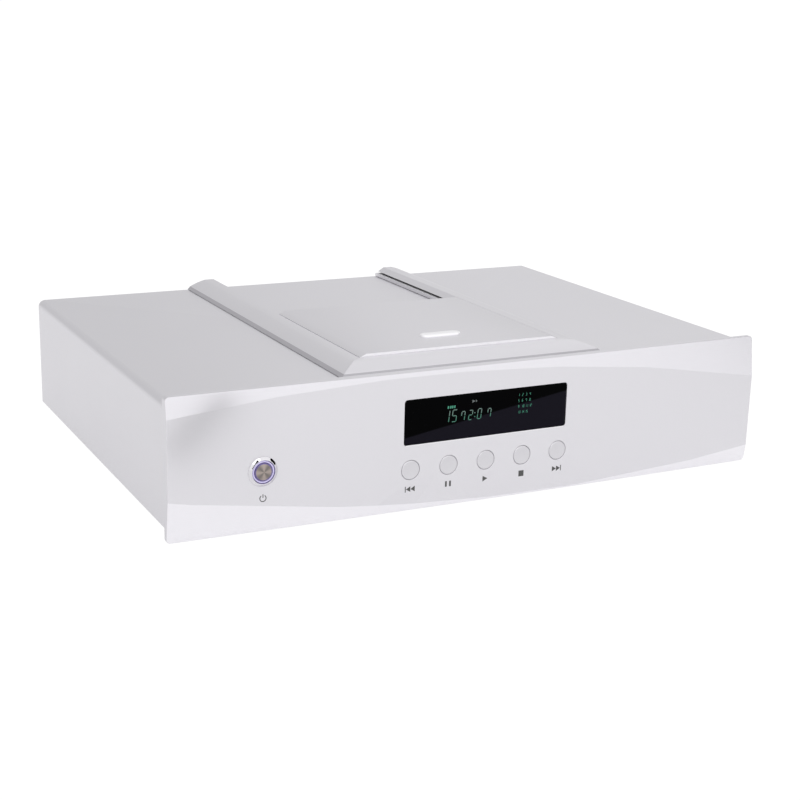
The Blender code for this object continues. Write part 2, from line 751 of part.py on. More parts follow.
def build_front_board(shop):
    half = FRONT_BOARD_WIDTH / 2
    board = box("front_board", (-half, front_board_face, front_board_low),
                (half, front_board_face + BOARD_THICKNESS, front_board_high))
    reach = SWITCH_SIDE / 2
    for name, x in button_places():
        shop.join(board, box(name + "_switch", (x - reach, switch_face, button_height - reach),
                             (x + reach, front_board_face + BOARD_THICKNESS / 2, button_height + reach)))
    shop.add(board, "board_green")


# Power switch

def build_power_switch(shop):
    place = (power_x, power_seat_y, power_height)
    barrel_end = -BEZEL_BARREL_LENGTH
    bezel = [(BEZEL_BORE_RADIUS, BEZEL_PROUD), (BEZEL_RADIUS - BEZEL_EDGE, BEZEL_PROUD),
             (BEZEL_RADIUS, BEZEL_PROUD - BEZEL_EDGE), (BEZEL_RADIUS, 0.0), (BEZEL_BARREL_RADIUS, 0.0),
             (BEZEL_BARREL_RADIUS, barrel_end), (BEZEL_BORE_RADIUS, barrel_end)]
    shop.add(turned("power_switch_bezel", bezel, place, "-Y"), "chrome")
    ring_front = BEZEL_PROUD - BEZEL_EDGE
    halo = [(halo_bore, ring_front), (halo_radius, ring_front), (halo_radius, -HALO_LENGTH),
            (halo_bore, -HALO_LENGTH)]
    shop.add(turned("power_halo_ring", halo, place, "-Y"), "halo_light")
    block_front = barrel_end - FIT_GAP
    stem_end = block_front + POWER_TRAVEL + FIT_GAP
    cap_front = BEZEL_PROUD + CAP_PROUD
    cap = [(0.0, cap_front), (cap_radius - CAP_EDGE, cap_front), (cap_radius, cap_front - CAP_EDGE),
           (cap_radius, cap_front - CAP_LENGTH), (CAP_STEM_RADIUS, cap_front - CAP_LENGTH),
           (CAP_STEM_RADIUS, stem_end), (0.0, stem_end)]
    shop.add(turned("power_button_cap", cap, place, "-Y"), "polished_steel")
    nut_front = sub_panel_back + FIT_GAP
    nut = cylinder("power_switch_nut", NUT_RADIUS, (power_x, nut_front, power_height), NUT_THICKNESS, "+Y",
                   NUT_SIDES)
    shop.cut(nut, cylinder("nut_bore", barrel_bore, (power_x, nut_front - OVERRUN, power_height),
                           NUT_THICKNESS + 2 * OVERRUN, "+Y"))
    shop.add(nut, "zinc_steel")
    block_y = power_seat_y - block_front
    block = cylinder("power_switch_block", BEZEL_BARREL_RADIUS, (power_x, block_y, power_height), BLOCK_LENGTH,
                     "+Y")
    terminal_start = block_y + BLOCK_LENGTH - OVERRUN
    for i, offset in enumerate((-TERMINAL_SPREAD, TERMINAL_SPREAD)):
        shop.join(block, box(f"power_terminal_{i}",
                             (power_x + offset - TERMINAL_THICKNESS / 2, terminal_start,
                              power_height - TERMINAL_WIDTH / 2),
                             (power_x + offset + TERMINAL_THICKNESS / 2, terminal_start + TERMINAL_LENGTH,
                              power_height + TERMINAL_WIDTH / 2)))
    shop.add(block, "black_plastic")


# Case and feet

def cover_path():
    """The wrap's outline, from the foot of one side over the top to the foot of the other."""
    turn = cover_half - COVER_EDGE_RADIUS
    shoulder = cover_top - COVER_EDGE_RADIUS
    left = arc((-turn, shoulder), COVER_EDGE_RADIUS, 180, 90, CORNER_STEPS + 2)
    right = arc((turn, shoulder), COVER_EDGE_RADIUS, 90, 0, CORNER_STEPS + 2)
    return [(-cover_half, case_bottom)] + left + right + [(cover_half, case_bottom)]


def build_main_cover(shop):
    cover = bent_sheet("main_cover", cover_path(), cover_front, cover_back, COVER_SHEET)
    bay_front, bay_back = spindle_y - well_half_y, spindle_y + well_half_y
    shop.cut(cover, rounded_box("bay_opening", (-bay_half_x, bay_front + WELL_WALL, cover_ceiling - OVERRUN),
                                (bay_half_x, bay_back - WELL_WALL, cover_top + OVERRUN), 2, WELL_CORNER_RADIUS))
    shop.add(cover, "satin_aluminium")


def standoff_places():
    """The corners of the two boards that lie on the base."""
    places = []
    for x, y, width, length in ((power_board_x, power_board_y, POWER_BOARD_WIDTH, POWER_BOARD_LENGTH),
                                (main_board_x, main_board_y, MAIN_BOARD_WIDTH, MAIN_BOARD_LENGTH)):
        reach_x, reach_y = width / 2 - STANDOFF_INSET, length / 2 - STANDOFF_INSET
        places += [(x + i * reach_x, y + j * reach_y) for i in (-1, 1) for j in (-1, 1)]
    return places


def build_base_plate(shop):
    wall_top = case_bottom + BASE_WALL_HEIGHT
    turn = chassis_half - BASE_BEND_RADIUS
    bend = case_bottom + BASE_BEND_RADIUS
    path = [(chassis_half, wall_top)] + arc((turn, bend), BASE_BEND_RADIUS, 0, -90, CORNER_STEPS)
    path += arc((-turn, bend), BASE_BEND_RADIUS, -90, -180, CORNER_STEPS) + [(-chassis_half, wall_top)]
    base = bent_sheet("base_plate", path, base_front, base_back, STEEL_SHEET)
    for i, (x, y) in enumerate(standoff_places()):
        shop.join(base, cylinder(f"standoff_{i}", STANDOFF_RADIUS, (x, y, case_bottom + STEEL_SHEET / 2),
                                 STANDOFF_HEIGHT + STEEL_SHEET / 2, "+Z", TINY_STEPS))
    shop.add(base, "zinc_steel")


def end_sheet(name, front):
    """A sheet that closes one end of the case inside the cover, its upper corners round."""
    ceiling = cover_ceiling - FIT_GAP
    radius = COVER_EDGE_RADIUS - COVER_SHEET
    outline = [(-chassis_half, case_bottom)]
    outline += arc((-chassis_half + radius, ceiling - radius), radius, 180, 90, CORNER_STEPS + 2)
    outline += arc((chassis_half - radius, ceiling - radius), radius, 90, 0, CORNER_STEPS + 2)
    outline.append((chassis_half, case_bottom))
    return profile_solid(name, [[(x, -z) for x, z in outline]], (0, front, 0), STEEL_SHEET, "+Y")


def build_front_sub_panel(shop):
    sheet = end_sheet("front_sub_panel", cover_front)
    start, length = cover_front - OVERRUN, STEEL_SHEET + 2 * OVERRUN
    margin = WINDOW_FLANGE + FIT_GAP
    shop.cut(sheet, box("sub_panel_window", (-WINDOW_WIDTH / 2 - margin, start, window_bottom - margin),
                        (WINDOW_WIDTH / 2 + margin, start + length, window_bottom + WINDOW_HEIGHT + margin)))
    for name, x in button_places():
        shop.cut(sheet, cylinder(name + "_clearance", button_counterbore, (x, start, button_height), length,
                                 "+Y"))
    shop.cut(sheet, cylinder("power_clearance", barrel_bore, (power_x, start, power_height), length, "+Y"))
    shop.add(sheet, "zinc_steel")


def jack_places():
    """Each rear jack's name and its X."""
    return [("left_output_jack", output_jack_x), ("right_output_jack", output_jack_x - OUTPUT_JACK_PITCH),
            ("digital_output_jack", digital_jack_x)]


def build_rear_panel(shop):
    sheet = end_sheet("rear_panel", rear_inner)
    start, length = rear_inner - OVERRUN, STEEL_SHEET + 2 * OVERRUN
    for name, x in jack_places():
        shop.cut(sheet, cylinder(name + "_hole", JACK_RADIUS + FIT_GAP, (x, start, jack_height), length, "+Y"))
    half_x, half_z = INLET_WIDTH / 2 + FIT_GAP, INLET_HEIGHT / 2 + FIT_GAP
    shop.cut(sheet, box("inlet_hole", (inlet_x - half_x, start, inlet_height - half_z),
                        (inlet_x + half_x, start + length, inlet_height + half_z)))
    shop.add(sheet, "zinc_steel")


def build_feet(shop):
    recess = PAD_THICKNESS + FIT_GAP
    foot = [(0.0, FOOT_HEIGHT), (FOOT_RADIUS - FOOT_EDGE, FOOT_HEIGHT), (FOOT_RADIUS, FOOT_HEIGHT - FOOT_EDGE),
            (FOOT_RADIUS, PAD_PROUD + FOOT_EDGE), (FOOT_RADIUS - FOOT_EDGE, PAD_PROUD),
            (PAD_RADIUS + FIT_GAP, PAD_PROUD), (PAD_RADIUS + FIT_GAP, recess), (0.0, recess)]
    pad = [(0.0, PAD_THICKNESS), (PAD_RADIUS, PAD_THICKNESS), (PAD_RADIUS, PAD_EDGE),
           (PAD_RADIUS - PAD_EDGE, 0.0), (0.0, 0.0)]
    rows = (("front", face_y + FOOT_INSET_FRONT), ("rear", face_y + CASE_DEPTH - FOOT_INSET_REAR))
    for row, y in rows:
        for side, x in (("left", -foot_x), ("right", foot_x)):
            shop.add(turned(f"{row}_{side}_foot", foot, (x, y, 0.0)), "satin_aluminium")
            shop.add(turned(f"{row}_{side}_foot_pad", pad, (x, y, 0.0)), "rubber_black")


# Raised frame and lid

def frame_crown():
    """The frame's upper outline, as (distance in from the outer edge, height over the cover)."""
    slope = FRAME_SLOPE - FRAME_CHAMFER
    climb = FRAME_RISE - FRAME_STEP
    crown = [(0.0, FIT_GAP)]
    for i in range(CROWN_STEPS + 1):
        share = i / CROWN_STEPS
        bulge = FRAME_BULGE * 4 * share * (1 - share)
        crown.append((FRAME_CHAMFER + slope * share, FRAME_STEP + climb * share + bulge))
    return crown


def mitre_cutter(name, side, keeps_rail):
    """A prism on the side that is cut away of the corner's mitre, at 45 degrees up to the bar's back."""
    shift = FIT_GAP / math.sqrt(2)
    if keeps_rail:
        depth = BAR_DEPTH + FIT_GAP
        reach = FRAME_BAND + RAIL_LIP_WIDTH + OVERRUN
        loop = [(-OVERRUN, shift - OVERRUN), (depth - shift, depth), (reach, depth), (reach, -OVERRUN),
                (-OVERRUN, -OVERRUN)]
    else:
        depth = BAR_DEPTH + OVERRUN
        loop = [(shift - OVERRUN, -OVERRUN), (shift + depth, depth), (-OVERRUN, depth), (-OVERRUN, -OVERRUN)]
    loop = [(side * (FRAME_HALF_WIDTH - inset), bar_front + back) for inset, back in loop]
    return profile_solid(name, [loop], (0, 0, cover_top), FRAME_RISE + OVERRUN)


def build_rail(shop, name, side):
    crown = [(FRAME_HALF_WIDTH - inset, cover_top + height) for inset, height in frame_crown()]
    section = crown + [(rail_inner + RAIL_BEVEL, frame_top),
                       (rail_inner, groove_high), (rail_inner + GROOVE_DEPTH, groove_high),
                       (rail_inner + GROOVE_DEPTH, groove_low), (rail_inner - RAIL_LIP_WIDTH, groove_low),
                       (rail_inner - RAIL_LIP_WIDTH, frame_seat)]
    section = [(side * x, z) for x, z in section]
    rail = profile_solid(name, [[(x, -z) for x, z in section]], (0, bar_front, 0), cover_back - bar_front, "+Y")
    shop.cut(rail, mitre_cutter(name + "_mitre", side, True))
    shop.add(rail, "satin_aluminium")


def build_front_bar(shop):
    section = [(bar_front + inset, cover_top + height) for inset, height in frame_crown()]
    section += [(bar_back, frame_top), (bar_back, frame_seat)]
    length = 2 * FRAME_HALF_WIDTH
    bar = profile_solid("front_frame_bar", [[(-z, y) for y, z in section]], (-FRAME_HALF_WIDTH, 0, 0), length,
                        "+X")
    shop.cut(bar, mitre_cutter("bar_mitre_left", -1, False), mitre_cutter("bar_mitre_right", 1, False))
    shop.add(bar, "satin_aluminium")


def build_lid(shop):
    plate = rounded_box("lid_plate", (-lid_half, lid_front, lid_plate_low), (lid_half, lid_back, lid_top), 2,
                        LID_CORNER_RADIUS, 2)
    soften(plate, 2, lid_top, LID_EDGE, 2)
    shop.add(plate, "satin_aluminium", (0, lid_front, lid_plate_low))
    section = [(-tongue_half, carrier_low), (tongue_half, carrier_low), (tongue_half, tongue_high),
               (deck_half, tongue_high), (deck_half, carrier_high), (-deck_half, carrier_high),
               (-deck_half, tongue_high), (-tongue_half, tongue_high)]
    carrier = profile_solid("lid_carrier", [[(x, -z) for x, z in section]], (0, lid_front, 0), LID_LENGTH, "+Y")
    shop.add(carrier, "black_plastic", (0, lid_front, carrier_low))
    seat = lid_top + FIT_GAP
    grip_y = lid_front + GRIP_FROM_FRONT
    grip = rounded_box("lid_grip", (-GRIP_LENGTH / 2, grip_y - GRIP_WIDTH / 2, seat),
                       (GRIP_LENGTH / 2, grip_y + GRIP_WIDTH / 2, seat + GRIP_HEIGHT), 2,
                       GRIP_WIDTH / 2 - FIT_GAP, CORNER_STEPS + 1)
    soften(grip, 2, seat + GRIP_HEIGHT, GRIP_ROUNDING, GRIP_STEPS)
    shop.add(grip, "polished_aluminium", (0, grip_y, seat))


# Disc well and turntable

def build_disc_well(shop):
    well = rounded_box("disc_well", (-well_half_x, spindle_y - well_half_y - WELL_WALL, well_rim - WELL_WALL),
                       (well_half_x, spindle_y + well_half_y + WELL_WALL, well_rim), 2, WELL_CORNER_RADIUS)
    centre = (0, spindle_y, well_under)
    shop.join(well, cylinder("well_wall", well_radius + WELL_WALL, centre, well_rim - well_under - FIT_GAP,
                             "+Z", 2 * ROUND_STEPS))
    for i, (x, y) in enumerate(mount_places):
        under_floor = math.hypot(x, y) < well_radius
        top = well_floor - WELL_WALL / 2 if under_floor else well_rim - WELL_WALL / 2
        low = plate_top - POST_LENGTH
        shop.join(well, cylinder(f"post_{i}", POST_RADIUS, (x, spindle_y + y, low), top - low, "+Z", PIN_STEPS))
    shop.cut(well, cylinder("well_hollow", well_radius, (0, spindle_y, well_floor),
                            cover_top - well_floor, "+Z", 2 * ROUND_STEPS))
    shop.cut(well, cylinder("hub_hole", WELL_HUB_HOLE_RADIUS, (0, spindle_y, well_under - OVERRUN),
                            WELL_WALL + 2 * OVERRUN, "+Z", ROUND_STEPS))
    reach = TURRET_HALF_WIDTH + SLOT_MARGIN
    slot_end = PICKUP_START + PICKUP_TRAVEL + TURRET_HALF_LENGTH + SLOT_MARGIN
    shop.cut(well, box("pickup_slot", (0, spindle_y - reach, well_under - OVERRUN),
                       (slot_end, spindle_y + reach, disc_plane)))
    shop.add(well, "bay_grey")


def build_turntable(shop):
    centre = (0, spindle_y, disc_plane)
    motor_top = plate_low - FIT_GAP
    stem_end = motor_top + FIT_GAP - disc_plane
    hub = [(0.0, HUB_CONE_HEIGHT), (HUB_CONE_TOP_RADIUS, HUB_CONE_HEIGHT), (HUB_CONE_RADIUS, 0.0),
           (HUB_RADIUS, 0.0), (HUB_RADIUS, -HUB_THICKNESS), (HUB_STEM_RADIUS, -HUB_THICKNESS),
           (HUB_STEM_RADIUS, stem_end), (0.0, stem_end)]
    shop.add(turned("turntable_hub", hub, centre), "black_plastic")
    pocket_radius = HUB_CONE_RADIUS + FIT_GAP
    pocket_top = HUB_CONE_HEIGHT + FIT_GAP
    body_top = FIT_GAP + CLAMP_THICKNESS
    knob_top = body_top + CLAMP_KNOB_HEIGHT
    clamp = [(0.0, knob_top), (CLAMP_KNOB_RADIUS - CLAMP_EDGE, knob_top),
             (CLAMP_KNOB_RADIUS, knob_top - CLAMP_EDGE), (CLAMP_KNOB_RADIUS, body_top),
             (CLAMP_RADIUS - CLAMP_EDGE, body_top), (CLAMP_RADIUS, body_top - CLAMP_EDGE),
             (CLAMP_RADIUS, FIT_GAP), (pocket_radius, FIT_GAP), (pocket_radius, pocket_top), (0.0, pocket_top)]
    shop.add(turned("disc_clamp", clamp, centre), "polished_steel")
    motor_low = motor_top - SPINDLE_MOTOR_LENGTH
    motor = cylinder("spindle_motor", SPINDLE_MOTOR_RADIUS, (0, spindle_y, motor_low), SPINDLE_MOTOR_LENGTH,
                     "+Z", ROUND_STEPS)
    shop.add(motor, "zinc_steel")


# Transport plate, rods and dampers

def build_transport_chassis(shop):
    chassis = rounded_box("transport_chassis", (-PLATE_LEFT, spindle_y - PLATE_FRONT, plate_low),
                          (PLATE_RIGHT, spindle_y + PLATE_BACK, plate_top), 2, PLATE_CORNER_RADIUS)
    bore = ROD_RADIUS + AXLE_CLEARANCE
    for i, x in enumerate((ROD_START, ROD_END - LUG_THICKNESS)):
        for j, y in enumerate((-ROD_SPREAD, ROD_SPREAD)):
            middle = spindle_y + y
            shop.join(chassis, box(f"lug_{i}_{j}", (x, middle - LUG_WIDTH / 2, plate_low - LUG_HEIGHT),
                                   (x + LUG_THICKNESS, middle + LUG_WIDTH / 2, plate_low + FIT_GAP)))
            shop.cut(chassis, cylinder(f"lug_bore_{i}_{j}", bore, (x - OVERRUN / 2, middle, rod_height),
                                       LUG_THICKNESS + OVERRUN, "+X", PIN_STEPS))
    shop.join(chassis, cylinder("gear_axle", AXLE_RADIUS, (gear_x, spindle_y + gear_y, axle_low),
                                plate_low + PLATE_THICKNESS / 2 - axle_low, "+Z", PIN_STEPS))
    reach = TURRET_HALF_WIDTH + SLOT_MARGIN
    window_start = PICKUP_START - TURRET_HALF_LENGTH - SLOT_MARGIN
    window_end = PICKUP_START + PICKUP_TRAVEL + TURRET_HALF_LENGTH + SLOT_MARGIN
    low, length = plate_low - OVERRUN, PLATE_THICKNESS + 2 * OVERRUN
    shop.cut(chassis, box("pickup_window", (window_start, spindle_y - reach, low),
                          (window_end, spindle_y + reach, low + length)))
    shop.cut(chassis, cylinder("spindle_hole", SPINDLE_HOLE_RADIUS, (0, spindle_y, low), length))
    for i, (x, y) in enumerate(mount_places):
        shop.cut(chassis, cylinder(f"mount_hole_{i}", DAMPER_NECK_RADIUS + FIT_GAP, (x, spindle_y + y, low),
                                   length))
    shop.add(chassis, "zinc_steel")


def build_dampers(shop):
    bore = POST_RADIUS + FIT_GAP
    head_low, neck_low = PLATE_THICKNESS + FIT_GAP, -FIT_GAP
    profile = [(bore, head_low + DAMPER_HEAD), (DAMPER_RADIUS, head_low + DAMPER_HEAD),
               (DAMPER_RADIUS, head_low), (DAMPER_NECK_RADIUS, head_low), (DAMPER_NECK_RADIUS, neck_low),
               (DAMPER_RADIUS, neck_low), (DAMPER_RADIUS, neck_low - DAMPER_FOOT),
               (bore, neck_low - DAMPER_FOOT)]
    names = ("front_left_damper", "rear_left_damper", "front_right_damper", "rear_right_damper")
    for name, (x, y) in zip(names, mount_places):
        shop.add(turned(name, profile, (x, spindle_y + y, plate_low), "+Z", SMALL_STEPS), "rubber_black")


def build_rods(shop):
    for name, y in (("sled_guide_rod", ROD_SPREAD), ("sled_support_rod", -ROD_SPREAD)):
        rod = cylinder(name, ROD_RADIUS, (ROD_START, spindle_y + y, rod_height), ROD_END - ROD_START, "+X",
                       PIN_STEPS)
        shop.add(rod, "polished_steel")


# Pickup and its drive

def gear_outline(teeth, phase):
    """A gear's outline: straight-flanked teeth, the first one centred on the given angle."""
    pitch_radius = teeth * GEAR_MODULE / 2
    tip = pitch_radius + ADDENDUM_SHARE * GEAR_MODULE
    root = pitch_radius - DEDENDUM_SHARE * GEAR_MODULE
    step = 2 * math.pi / teeth
    corners = ((-TOOTH_ROOT_SHARE / 2, root), (-TOOTH_TIP_SHARE / 2, tip), (TOOTH_TIP_SHARE / 2, tip),
               (TOOTH_ROOT_SHARE / 2, root))
    points = []
    for tooth in range(teeth):
        for share, radius in corners:
            angle = phase + (tooth + share) * step
            points.append((radius * math.cos(angle), radius * math.sin(angle)))
    return points


def rack_teeth():
    """Each rack tooth's outline about the lens: teeth point to -Y, and a gap lies over the gear at rest."""
    pitch = math.pi * GEAR_MODULE
    tip = rack_pitch_line - ADDENDUM_SHARE * GEAR_MODULE
    root_half, tip_half = TOOTH_ROOT_SHARE * pitch / 2, TOOTH_TIP_SHARE * pitch / 2
    offset = (gear_x - PICKUP_START + pitch / 2) % pitch
    count = int(RACK_HALF_LENGTH / pitch) + 1
    middles = [offset + i * pitch for i in range(-count, count)]
    seat = rack_root + RACK_SEAT
    return [[(x - root_half, seat), (x - root_half, rack_root), (x - tip_half, tip), (x + tip_half, tip),
             (x + root_half, rack_root), (x + root_half, seat)]
            for x in middles if abs(x) < RACK_HALF_LENGTH - pitch / 2]


def build_sled(shop):
    lens_x = PICKUP_START
    inner, outer = lens_x - SLED_INNER, lens_x + SLED_OUTER
    sled = box("pickup_sled", (inner, spindle_y - SLED_HALF_WIDTH, sled_low),
               (outer, spindle_y + SLED_HALF_WIDTH, sled_top))
    shop.join(sled, box("sled_turret", (lens_x - TURRET_HALF_LENGTH, spindle_y - TURRET_HALF_WIDTH,
                                        sled_low + STEEL_SHEET),
                        (lens_x + TURRET_HALF_LENGTH, spindle_y + TURRET_HALF_WIDTH, turret_top)))
    shop.join(sled, box("sled_arms", (inner + FIT_GAP, spindle_y - sled_side - RACK_SEAT, arm_low),
                        (outer - FIT_GAP, spindle_y + sled_side, sled_top - FIT_GAP)))
    shop.join(sled, box("sled_rack", (lens_x - RACK_HALF_LENGTH, spindle_y + rack_root, rack_low),
                        (lens_x + RACK_HALF_LENGTH, spindle_y + rack_back, rack_high)))
    for i, outline in enumerate(rack_teeth()):
        shop.join(sled, profile_solid(f"rack_tooth_{i}", [outline], (lens_x, spindle_y, rack_low + RACK_RELIEF),
                                      RACK_HEIGHT - 2 * RACK_RELIEF))
    bore = ROD_RADIUS + AXLE_CLEARANCE
    start = inner - OVERRUN
    length = outer - inner + 2 * OVERRUN
    shop.cut(sled, cylinder("guide_bore", bore, (start, spindle_y + ROD_SPREAD, rod_height), length, "+X",
                            PIN_STEPS))
    shop.cut(sled, box("support_slot", (start, spindle_y - ROD_SPREAD - bore, arm_low - OVERRUN),
                       (start + length, spindle_y - ROD_SPREAD + bore, rod_height + bore)))
    shop.add(sled, "black_plastic", (lens_x, spindle_y, rod_height))
    lens_low = turret_top + FIT_GAP
    lens = [(0.0, lens_top), (LENS_RADIUS / 2, lens_top), (LENS_RADIUS, lens_low + LENS_HEIGHT / 2),
            (LENS_RADIUS, lens_low), (0.0, lens_low)]
    shop.add(turned("objective_lens", lens, (lens_x, spindle_y, 0.0), "+Z", SMALL_STEPS), "lens_glass")


def build_gears(shop):
    place = (gear_x, spindle_y + gear_y, wheel_low)
    bore = AXLE_RADIUS + AXLE_CLEARANCE
    wheel = profile_solid("sled_drive_gear", [gear_outline(WHEEL_TEETH, SLED_MOTOR_DIRECTION)], place,
                          WHEEL_THICKNESS)
    middle = wheel_low + WHEEL_THICKNESS / 2
    boss_high = plate_low - FIT_GAP
    shop.join(wheel, profile_solid("drive_gear_pinion", [gear_outline(PINION_TEETH, math.pi / 2)],
                                   (place[0], place[1], middle), rack_high - middle))
    shop.join(wheel, cylinder("drive_gear_boss", GEAR_BOSS_RADIUS, (place[0], place[1], middle),
                              boss_high - middle, "+Z", PIN_STEPS))
    shop.cut(wheel, cylinder("drive_gear_bore", bore, (place[0], place[1], wheel_low - OVERRUN),
                             boss_high - wheel_low + 2 * OVERRUN, "+Z", PIN_STEPS))
    shop.add(wheel, "gear_white", place)
    motor_place = (sled_motor_x, spindle_y + sled_motor_y, wheel_low)
    gap_phase = SLED_MOTOR_DIRECTION + math.pi + math.pi / MOTOR_PINION_TEETH
    pinion = profile_solid("sled_motor_pinion", [gear_outline(MOTOR_PINION_TEETH, gap_phase)], motor_place,
                           WHEEL_THICKNESS)
    pinion_bore = SLED_MOTOR_SHAFT_RADIUS + AXLE_CLEARANCE
    shop.cut(pinion, cylinder("motor_pinion_bore", pinion_bore,
                              (motor_place[0], motor_place[1], wheel_low - OVERRUN),
                              WHEEL_THICKNESS + 2 * OVERRUN, "+Z", TINY_STEPS))
    shop.add(pinion, "gear_white", motor_place)
    motor_low = wheel_high + FIT_GAP
    motor = cylinder("sled_motor", SLED_MOTOR_RADIUS, (motor_place[0], motor_place[1], motor_low),
                     plate_low - FIT_GAP - motor_low, "+Z", ROUND_STEPS)
    shop.join(motor, cylinder("sled_motor_shaft", SLED_MOTOR_SHAFT_RADIUS,
                              (motor_place[0], motor_place[1], wheel_low),
                              motor_low + OVERRUN - wheel_low, "+Z", TINY_STEPS))
    shop.add(motor, "zinc_steel")


# Electronics

def build_transformer(shop):
    centre = (transformer_x, transformer_y, transformer_low)
    edge = TRANSFORMER_EDGE_RADIUS
    inner, outer, high = TRANSFORMER_BORE_RADIUS, TRANSFORMER_RADIUS, TRANSFORMER_HEIGHT
    profile = []
    for x, z, start in ((outer - edge, high - edge, 90), (outer - edge, edge, 0), (inner + edge, edge, -90),
                        (inner + edge, high - edge, -180)):
        profile += arc((x, z), edge, start, start - 90, CORNER_STEPS - 1)
    shop.add(turned("power_transformer", profile, centre), "winding_tape")
    plate_low_z = TRANSFORMER_HEIGHT + FIT_GAP
    plate_high_z = plate_low_z + CLAMP_PLATE_THICKNESS
    head = plate_high_z + CLAMP_HEAD_HEIGHT
    clamp = [(0.0, head), (CLAMP_HEAD_RADIUS, head), (CLAMP_HEAD_RADIUS, plate_high_z),
             (CLAMP_PLATE_RADIUS, plate_high_z), (CLAMP_PLATE_RADIUS, plate_low_z),
             (CLAMP_BOLT_RADIUS, plate_low_z), (CLAMP_BOLT_RADIUS, 0.0), (0.0, 0.0)]
    shop.add(turned("transformer_clamp", clamp, centre, "+Z", SMALL_STEPS), "zinc_steel")


def build_boards(shop):
    for name, x, y, width, length in (
            ("power_board", power_board_x, power_board_y, POWER_BOARD_WIDTH, POWER_BOARD_LENGTH),
            ("main_board", main_board_x, main_board_y, MAIN_BOARD_WIDTH, MAIN_BOARD_LENGTH)):
        shop.add(box(name, (x - width / 2, y - length / 2, board_seat), (x + width / 2, y + length / 2, board_top)),
                 "board_green")
    low = board_top + FIT_GAP
    can = [(0.0, CAPACITOR_HEIGHT), (CAPACITOR_RADIUS - CAPACITOR_EDGE, CAPACITOR_HEIGHT),
           (CAPACITOR_RADIUS, CAPACITOR_HEIGHT - CAPACITOR_EDGE), (CAPACITOR_RADIUS, 0.0), (0.0, 0.0)]
    for name, y in (("front_filter_capacitor", -CAPACITOR_SPREAD), ("rear_filter_capacitor", CAPACITOR_SPREAD)):
        shop.add(turned(name, can, (power_board_x - CAPACITOR_OFFSET, power_board_y + y, low), "+Z", SMALL_STEPS),
                 "capacitor_sleeve")


def build_heat_sink(shop):
    """A finned extrusion standing on the power board, fins on both sides of its spine."""
    x, low = power_board_x + HEAT_SINK_OFFSET, board_top + FIT_GAP
    half, spine = HEAT_SINK_LENGTH / 2, HEAT_SINK_SPINE / 2
    sink = box("heat_sink", (x - spine, power_board_y - half, low),
               (x + spine, power_board_y + half, low + HEAT_SINK_HEIGHT))
    pitch = (HEAT_SINK_LENGTH - FIN_THICKNESS - 2 * FIT_GAP) / (FIN_COUNT - 1)
    for i in range(FIN_COUNT):
        start = power_board_y - half + FIT_GAP + i * pitch
        shop.join(sink, box(f"fin_{i}", (x - spine - FIN_LENGTH, start, low + FIT_GAP),
                            (x + spine + FIN_LENGTH, start + FIN_THICKNESS, low + HEAT_SINK_HEIGHT - FIT_GAP)))
    shop.add(sink, "black_anodised")


def build_jacks(shop):
    for name, x in jack_places():
        half = JACK_BLOCK_WIDTH / 2
        block_back = rear_inner - FIT_GAP
        jack = box(name, (x - half, block_back - JACK_BLOCK_LENGTH, board_top + FIT_GAP),
                   (x + half, block_back, jack_height + half))
        collar_low = STEEL_SHEET + 2 * FIT_GAP
        collar_high = collar_low + JACK_COLLAR_THICKNESS
        reach = collar_low + JACK_LENGTH - FIT_GAP
        barrel = [(0.0, reach), (JACK_RADIUS, reach), (JACK_RADIUS, collar_high),
                  (JACK_COLLAR_RADIUS, collar_high), (JACK_COLLAR_RADIUS, collar_low), (JACK_RADIUS, collar_low),
                  (JACK_RADIUS, -OVERRUN), (0.0, -OVERRUN)]
        shop.join(jack, turned(name + "_barrel", barrel, (x, block_back, jack_height), "+Y", SMALL_STEPS))
        shop.cut(jack, cylinder(name + "_bore", JACK_BORE_RADIUS, (x, block_back - OVERRUN, jack_height),
                                reach + 2 * OVERRUN, "+Y", TINY_STEPS))
        shop.add(jack, "gold_plate" if name != "digital_output_jack" else "black_plastic")


def build_inlet(shop):
    flange_low = rear_outer + FIT_GAP
    mouth = flange_low + INLET_FLANGE_THICKNESS
    half_x, half_z = INLET_WIDTH / 2, INLET_HEIGHT / 2
    inlet = box("mains_inlet", (inlet_x - half_x, mouth - INLET_DEPTH, inlet_height - half_z),
                (inlet_x + half_x, mouth - FIT_GAP, inlet_height + half_z))
    half_x, half_z = INLET_FLANGE_WIDTH / 2, INLET_FLANGE_HEIGHT / 2
    shop.join(inlet, rounded_box("inlet_flange", (inlet_x - half_x, flange_low, inlet_height - half_z),
                                 (inlet_x + half_x, mouth, inlet_height + half_z), 1, INLET_CORNER_RADIUS))
    half_x, half_z = SOCKET_WIDTH / 2, SOCKET_HEIGHT / 2
    shop.cut(inlet, rounded_box("inlet_socket", (inlet_x - half_x, mouth - SOCKET_DEPTH, inlet_height - half_z),
                                (inlet_x + half_x, mouth + OVERRUN, inlet_height + half_z), 1,
                                SOCKET_CORNER_RADIUS, 2))
    for name, x, z in (("live_pin", -PIN_SPREAD, -PIN_RAISE), ("neutral_pin", PIN_SPREAD, -PIN_RAISE),
                       ("earth_pin", 0.0, PIN_RAISE)):
        shop.join(inlet, box(name, (inlet_x + x - PIN_WIDTH / 2, mouth - SOCKET_DEPTH - OVERRUN,
                                    inlet_height + z - PIN_HEIGHT / 2),
                             (inlet_x + x + PIN_WIDTH / 2, mouth - PIN_RECESS, inlet_height + z + PIN_HEIGHT / 2)))
    shop.add(inlet, "black_plastic")


